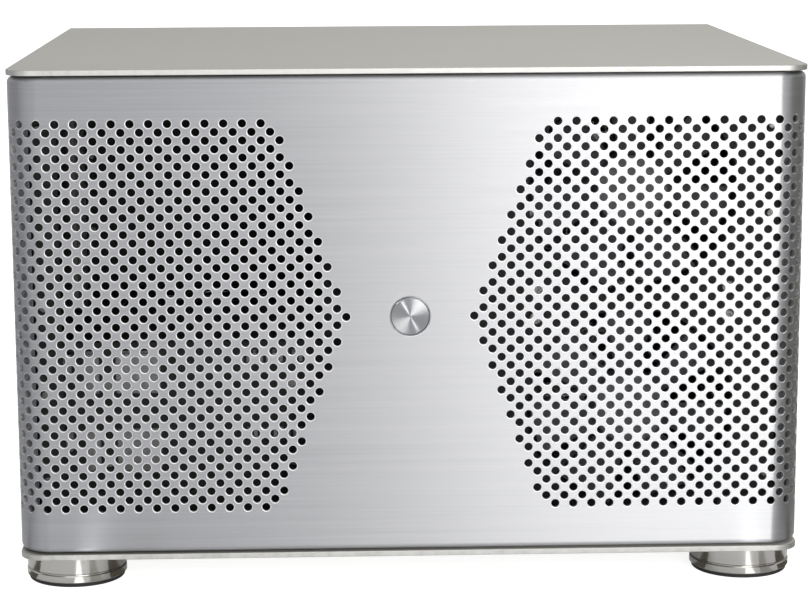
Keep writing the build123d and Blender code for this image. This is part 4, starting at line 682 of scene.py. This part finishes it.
class COMPUTER_OT_plates(bpy.types.Operator):
    """Cut the top cover and the base plate, with round front corners and broken edges"""
    bl_idname = "computer.plates"
    bl_label = "Top cover and base plate"

    def execute(self, context):
        skin = context.scene.computer_skin
        for name, body in (("top_cover", "top_skin"), ("base_plate", "case")):
            low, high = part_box(name)
            plate = add_box(f"{name}_plate", low, high)
            corners = ((low.y, skin.plate_radius, CORNER_STEPS), (high.y, skin.back_radius, ROLL_STEPS))
            for level, radius, steps in corners:
                bevel_edges(plate, lambda a, b: near(a.y, level) and not near(a.z, b.z), radius, steps)
            bevel_edges(plate, lambda a, b: near(a.z, b.z), skin.plate_edge, BREAK_STEPS)
            smooth(plate)
            finish_piece(plate, body, shared("brushed_plate"), "brushed_plate", name)
            # The plates' edge faces get a metal lighter than their faces, which paints part of the edges'
            # highlight
            cover_faces(plate, shared("plate_edge"), lambda normal: abs(normal.z) < 0.5)
        return {"FINISHED"}


# ---------------------------------------------------------------- button and feet

BUTTON_SMOOTH = 25  # the largest angle, in degrees, that is shaded round on the button


def face_centre(low, high):
    """The middle of the front of a box."""
    return Vector(((low.x + high.x) / 2, low.y, (low.z + high.z) / 2))


class COMPUTER_OT_power_button(bpy.types.Operator):
    """Turn the power button: a faintly crowned face with its centre mark, the flange and the stem"""
    bl_idname = "computer.power_button"
    bl_label = "Power button"

    def execute(self, context):
        size = context.scene.computer_button
        low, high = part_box("power_button")
        face, flange, stem = size.face_radius, (high.x - low.x) / 2, size.stem_radius
        shoulder = context.scene.computer_skin.front_sheet + size.gap
        step = shoulder + size.flange_depth
        end = high.y - low.y
        profile = [(0, size.dimple), (size.dimple, 0)]
        profile += [(face * share, size.crown * share * share) for share in (0.25, 0.5, 0.75)]
        profile += [(face - size.rim, size.crown), (face, size.crown + size.rim), (face, shoulder)]
        profile += [(flange, shoulder), (flange, step), (stem, step), (stem, end), (0, end)]
        button = turned("turned_button", profile, face_centre(low, high), BACK, UP)
        smooth(button, BUTTON_SMOOTH)
        finish_piece(button, "button", shared("turned_button"), "turned_button", "power_button")
        self.fold_spring()
        return {"FINISHED"}

    @staticmethod
    def fold_spring():
        """Works out how much of the spring's length stays when the button is in, and gives the spring a mesh of
        its own; the spring itself is not shortened.
        """
        press = next(joint for joint in frame["joints"] if joint["name"] == "power_button_press")
        low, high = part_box("button_spring")
        keep = 1 - max(press["range_m"]) / (high.y - low.y)
        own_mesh(frame["nodes"]["button_spring"])


class COMPUTER_OT_feet(bpy.types.Operator):
    """Turn the four polished feet and their rubber pads"""
    bl_idname = "computer.feet"
    bl_label = "Feet"

    def execute(self, context):
        size = context.scene.computer_foot
        low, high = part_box("foot_bodies")
        pad_low, pad_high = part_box("foot_pads")
        places = [(x, y, 0) for x in (low.x + size.ring_radius, high.x - size.ring_radius)
                  for y in (low.y + size.ring_radius, high.y - size.ring_radius)]
        pad_radius = (pad_high.x - pad_low.x) / 2 - (high.x - size.ring_radius)
        body = self.body_profile(size, low.z, high.z)
        pad = self.pad_profile(size, pad_radius, pad_low.z, pad_high.z)
        feet = join("turned_feet", [turned("foot", body, place, UP, RIGHT) for place in places])
        smooth(feet)
        finish_piece(feet, "case", shared("polished_foot"), "polished_foot", "foot_bodies")
        pads = join("rubber_pads", [turned("pad", pad, place, UP, RIGHT) for place in places])
        smooth(pads)
        finish_piece(pads, "case", shared("black_rubber"), "black_rubber", "foot_pads")
        return {"FINISHED"}

    @staticmethod
    def body_profile(size, bottom, top):
        """The foot's outline from its recess round the ring, the groove and the waist, back to the recess."""
        ring, waist, edge, groove = size.ring_radius, size.waist_radius, size.edge, size.groove
        ring_top = bottom + size.ring_height
        return [
            (size.recess_radius, bottom), (ring - edge, bottom), (ring, bottom + edge),
            (ring, ring_top - edge), (ring - edge, ring_top),
            (waist - groove, ring_top), (waist - groove, ring_top + groove), (waist, ring_top + 2 * groove),
            (waist, top - edge), (waist - edge, top), (size.recess_radius, top),
        ]

    @staticmethod
    def pad_profile(size, radius, bottom, top):
        """The pad's outline, with its lower edge rounded in three steps."""
        roll = size.pad_roll
        turns = [math.radians(angle) for angle in (0, 30, 60, 90)]
        curve = [(radius - roll + roll * math.sin(turn), bottom + roll - roll * math.cos(turn)) for turn in turns]
        return [(size.recess_radius, bottom), *curve, (radius, top), (size.recess_radius, top)]


# ---------------------------------------------------------------- finishes by name

# Each finish: how it is mixed, its tone or the name of the setting that holds it, and the rest
FINISHES = {
    "brushed_skin": (brushed, "skin", {"grain": (10, 10, 1500), "lift": UP}),
    "brushed_plate": (brushed, "plate", {"grain": (14, 2600, 2600), "lift": BACK}),
    # The plates' edges: cut metal, made lighter than the plates so that it paints part of their highlight
    "plate_edge": (plated, (0.52, 0.52, 0.51), {"roughness": 0.5}),
    # The bevels round the holes: cut metal, made lighter than the panel so that it paints part of their bright
    # highlight
    "bright_break": (plated, (0.7, 0.71, 0.73), {"roughness": 0.5}),
    "turned_button": (turned_face, "button", {"node": "power_button"}),
    "polished_foot": (polished, "foot", {}),
    "black_rubber": (rubber, (0.018, 0.018, 0.018), {}),
    "black_sheet": (painted, (0.014, 0.014, 0.015), {}),
    "fastener_steel": (plated, (0.32, 0.32, 0.32), {"roughness": 0.3}),
    "stud_steel": (plated, (0.6, 0.6, 0.6), {"roughness": 0.15}),
    "clip_plastic": (moulded, (0.03, 0.03, 0.03), {}),
    "black_plastic": (moulded, (0.02, 0.02, 0.021), {}),
    "rocker_plastic": (moulded, (0.015, 0.015, 0.015), {"roughness": 0.25, "grain": 900.0}),
    "spring_wire": (plated, (0.5, 0.5, 0.5), {"roughness": 0.2}),
    "fan_plastic": (moulded, (0.045, 0.045, 0.048), {}),
    "rotor_plastic": (moulded, (0.15, 0.15, 0.165), {"roughness": 0.35, "grain": 2200.0}),
    "guard_wire": (plated, (0.6, 0.6, 0.6), {"roughness": 0.12}),
    "board_laminate": (circuit_board, "board", {}),
    "inner_laminate": (circuit_board, (0.05, 0.07, 0.02), {}),
    "brass_standoff": (plated, (0.72, 0.5, 0.2), {}),
    "plated_cover": (plated, (0.6, 0.6, 0.6), {"roughness": 0.22}),
    "socket_plastic": (moulded, (0.03, 0.03, 0.032), {"roughness": 0.45}),
    "module_spreader": (painted, (0.04, 0.04, 0.05), {"roughness": 0.4}),
    "cooler_copper": (plated, "copper", {"roughness": 0.22}),
    "fin_metal": (rolled_sheet, (0.66, 0.66, 0.66), {"roughness": 0.3}),
    "supply_sheet": (painted, (0.03, 0.03, 0.032), {"roughness": 0.5}),
    "drive_metal": (rolled_sheet, (0.34, 0.34, 0.35), {"roughness": 0.4}),
}

MATERIALS = {}      # filled by the finishes step, which runs first


def shared(name):
    return MATERIALS[name]


class COMPUTER_OT_finishes(bpy.types.Operator):
    """Mix every finish, and give the carried-over pieces theirs"""
    bl_idname = "computer.finishes"
    bl_label = "Finishes"

    def execute(self, context):
        for name, (mix, tone, rest) in FINISHES.items():
            if isinstance(tone, str):
                tone = getattr(context.scene.computer_finish, tone)
            MATERIALS[name] = mix(name, tone, **rest)
        for part in frame["record"]["subparts"]:
            node = frame["nodes"][part["node"]]
            node.data.materials.clear()
            node.data.materials.append(shared(part["material_slot"]))
        return {"FINISHED"}


# ---------------------------------------------------------------- stage

def light(kind, name, power, place, aim):
    """A lamp that points at a place."""
    place, aim = Vector(place), Vector(aim)
    bpy.ops.object.light_add(type=kind, location=place)
    made = bpy.context.object
    made.name = name
    made.data.energy = power
    made.rotation_euler = (aim - place).to_track_quat("-Z", "Y").to_euler()
    return made


def soft_lamp(name, power, place, aim, size, tint=(1, 1, 1)):
    """A soft rectangular lamp that the camera doesn't see."""
    made = light("AREA", name, power, place, aim)
    made.data.shape = "RECTANGLE"
    made.data.size, made.data.size_y = size
    made.data.color = tint
    made.visible_camera = False


def narrow_lamp(name, power, place, aim):
    """A beam a degree wide, which lights little more than what it points at."""
    made = light("SPOT", name, power, place, aim)
    made.data.spot_size = math.radians(1)
    made.data.spot_blend = 0.3
    made.data.shadow_soft_size = 0.004


def card(name, tone, start, end, height, lean):
    """A card whose foot runs from start to end on the floor, and that only shiny surfaces see.

    It leans so many degrees from upright, away from the case.
    """
    bpy.ops.object.select_all(action="DESELECT")
    start, end = Vector((*start, 0)), Vector((*end, 0))
    turn = math.atan2(end.y - start.y, end.x - start.x)
    tilt = math.radians(90 - lean)
    out = Vector((math.sin(turn), -math.cos(turn), 0)) * math.cos(tilt) + UP * math.sin(tilt)
    bpy.ops.mesh.primitive_plane_add(
        size=1, location=(start + end) / 2 + out * height / 2, rotation=(math.pi - tilt, 0, turn))
    bpy.context.object.scale = ((end - start).length, height, 1)
    made = settle(name)
    finish = Finish(name, (0, 0, 0), roughness=1.0, emission_color=(*tone[:3], 1), emission_strength=1.0)
    made.data.materials.append(finish.material)
    made.visible_camera = False
    made.visible_diffuse = False
    made.visible_shadow = False


# Strips round each foot: the angle from straight ahead in degrees, the width, and the setting with the tone
FOOT_FLAGS = ((-77, 0.016, "flag"), (8, 0.009, "gleam"), (35, 0.014, "shade"), (78, 0.024, "flag"))
FLAG_LENGTH = 0.055
FLAG_LEAN = 89      # all but flat
FLAG_GAP = 0.002    # between the foot and the strip


class COMPUTER_OT_stage(bpy.types.Operator):
    """Set up the camera, the plain pale floor and the soft studio light"""
    bl_idname = "computer.stage"
    bl_label = "Stage"

    def execute(self, context):
        stage = context.scene.computer_stage
        self.set_camera(context, stage)
        self.lay_floor(stage)
        self.light_studio(context, stage)
        soft_lamp("key_lamp", stage.key, stage.key_place, stage.key_aim, size=(0.9, 1.3), tint=stage.key_tint)
        button = face_centre(*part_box("power_button"))
        narrow_lamp("button_lamp", stage.spot, button + Vector(stage.spot_reach), button)
        soft_lamp("top_lamp", stage.top, stage.top_place, stage.top_aim, size=(1.6, 1.2))
        card("left_card", stage.left_card, start=(-0.4, 0.3), end=(-0.33, -0.3), height=0.8, lean=50)
        card("right_card", stage.right_card, start=(0.25, -0.29), end=(0.4, 0.3), height=0.8, lean=50)
        self.lay_flags(context, stage)
        card("back_card", stage.back_card, start=(2.0, 1.0), end=(-2.0, 1.0), height=1.2, lean=10)
        context.scene.view_settings.view_transform = "Standard"
        return {"FINISHED"}

    @staticmethod
    def lay_flags(context, stage):
        """Strips round each foot, flat on the floor, that its polished wall mirrors as upright bands."""
        radius = context.scene.computer_foot.ring_radius
        low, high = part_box("foot_bodies")
        for x in (low.x + radius, high.x - radius):
            for y in (low.y + radius, high.y - radius):
                for angle, width, setting in FOOT_FLAGS:
                    tone = getattr(stage, setting)
                    if isinstance(tone, float):
                        tone = (tone,) * 3
                    turn = math.radians(angle)
                    out = Vector((math.sin(turn), -math.cos(turn)))
                    near_end = Vector((x, y)) + out * (radius + FLAG_GAP)
                    half = Vector((math.cos(turn), math.sin(turn))) * width / 2
                    card("foot_flag", tone, near_end - half, near_end + half, FLAG_LENGTH, FLAG_LEAN)

    @staticmethod
    def set_camera(context, stage):
        bpy.ops.object.camera_add(location=stage.camera_place)
        camera = context.object
        turn = Matrix.Rotation(-math.radians(stage.camera_yaw), 3, "Z")
        turn = turn @ Matrix.Rotation(math.radians(90 - stage.camera_pitch), 3, "X")
        turn = turn @ Matrix.Rotation(math.radians(stage.camera_roll), 3, "Z")
        camera.rotation_euler = turn.to_euler()
        camera.data.lens = stage.lens
        camera.data.sensor_width = 36.0
        camera.data.clip_start = 0.01
        context.scene.camera = camera

    @staticmethod
    def lay_floor(stage):
        """A pale floor, lifted to white where the camera looks."""
        bpy.ops.object.select_all(action="DESELECT")
        bpy.ops.mesh.primitive_plane_add(size=30)
        floor = settle("floor")
        made = Finish("pale_floor", stage.floor, roughness=0.9)
        made.shade(made.noise(3.0), 0.99, 1.01)
        ray = made.add("ShaderNodeLightPath").outputs
        mirrored = made.math("MAXIMUM", ray["Is Glossy Ray"], ray["Is Transmission Ray"])
        direct = made.math("MULTIPLY", ray["Is Camera Ray"], stage.glow)
        made.set("Emission Color", (1, 1, 1, 1))
        made.feed("Emission Strength", made.math("ADD", direct, made.math("MULTIPLY", mirrored, stage.mirrored)))
        floor.data.materials.append(made.material)

    @staticmethod
    def light_studio(context, stage):
        """A plain studio: brighter where the camera or a mirror looks, softer on matt surfaces."""
        world = bpy.data.worlds.new("studio")
        context.scene.world = world
        world.use_nodes = True
        tree = world.node_tree
        paths = tree.nodes.new("ShaderNodeLightPath")
        seen = tree.nodes.new("ShaderNodeMath")
        seen.operation = "MAXIMUM"
        tree.links.new(paths.outputs["Is Camera Ray"], seen.inputs[0])
        tree.links.new(paths.outputs["Is Glossy Ray"], seen.inputs[1])
        strength = tree.nodes.new("ShaderNodeMapRange")
        strength.inputs["To Min"].default_value = stage.fill
        strength.inputs["To Max"].default_value = stage.sky
        tree.links.new(seen.outputs["Value"], strength.inputs["Value"])
        tree.links.new(strength.outputs["Result"], tree.nodes["Background"].inputs["Strength"])
        tree.nodes["Background"].inputs["Color"].default_value = (1, 1, 1, 1)


STEPS = (
    COMPUTER_OT_finishes,
    COMPUTER_OT_front_panel,
    COMPUTER_OT_side_panels,
    COMPUTER_OT_plates,
    COMPUTER_OT_power_button,
    COMPUTER_OT_feet,
    COMPUTER_OT_stage,
)


class COMPUTER_PT_panel(bpy.types.Panel):
    """Lists the steps that dress the computer"""
    bl_idname = "COMPUTER_PT_panel"
    bl_label = "Computer"
    bl_space_type = "VIEW_3D"
    bl_region_type = "UI"
    bl_category = "Computer"

    def draw(self, context):
        for step in STEPS:
            self.layout.operator(step.bl_idname)
        for group, kind in GROUPS.items():
            box = self.layout.box()
            box.label(text=kind.__doc__)
            for name in kind.__annotations__:
                box.prop(getattr(context.scene, group), name)


def register():
    for kind in (*GROUPS.values(), *STEPS, COMPUTER_PT_panel):
        bpy.utils.register_class(kind)
    for name, kind in GROUPS.items():
        setattr(bpy.types.Scene, name, PointerProperty(type=kind))


def unregister():
    for name in GROUPS:
        delattr(bpy.types.Scene, name)
    for kind in reversed((*GROUPS.values(), *STEPS, COMPUTER_PT_panel)):
        bpy.utils.unregister_class(kind)


def main():
    register()
    for step in STEPS:
        group, name = step.bl_idname.split(".")
        getattr(getattr(bpy.ops, group), name)()


if __name__ == "__main__":
    main()
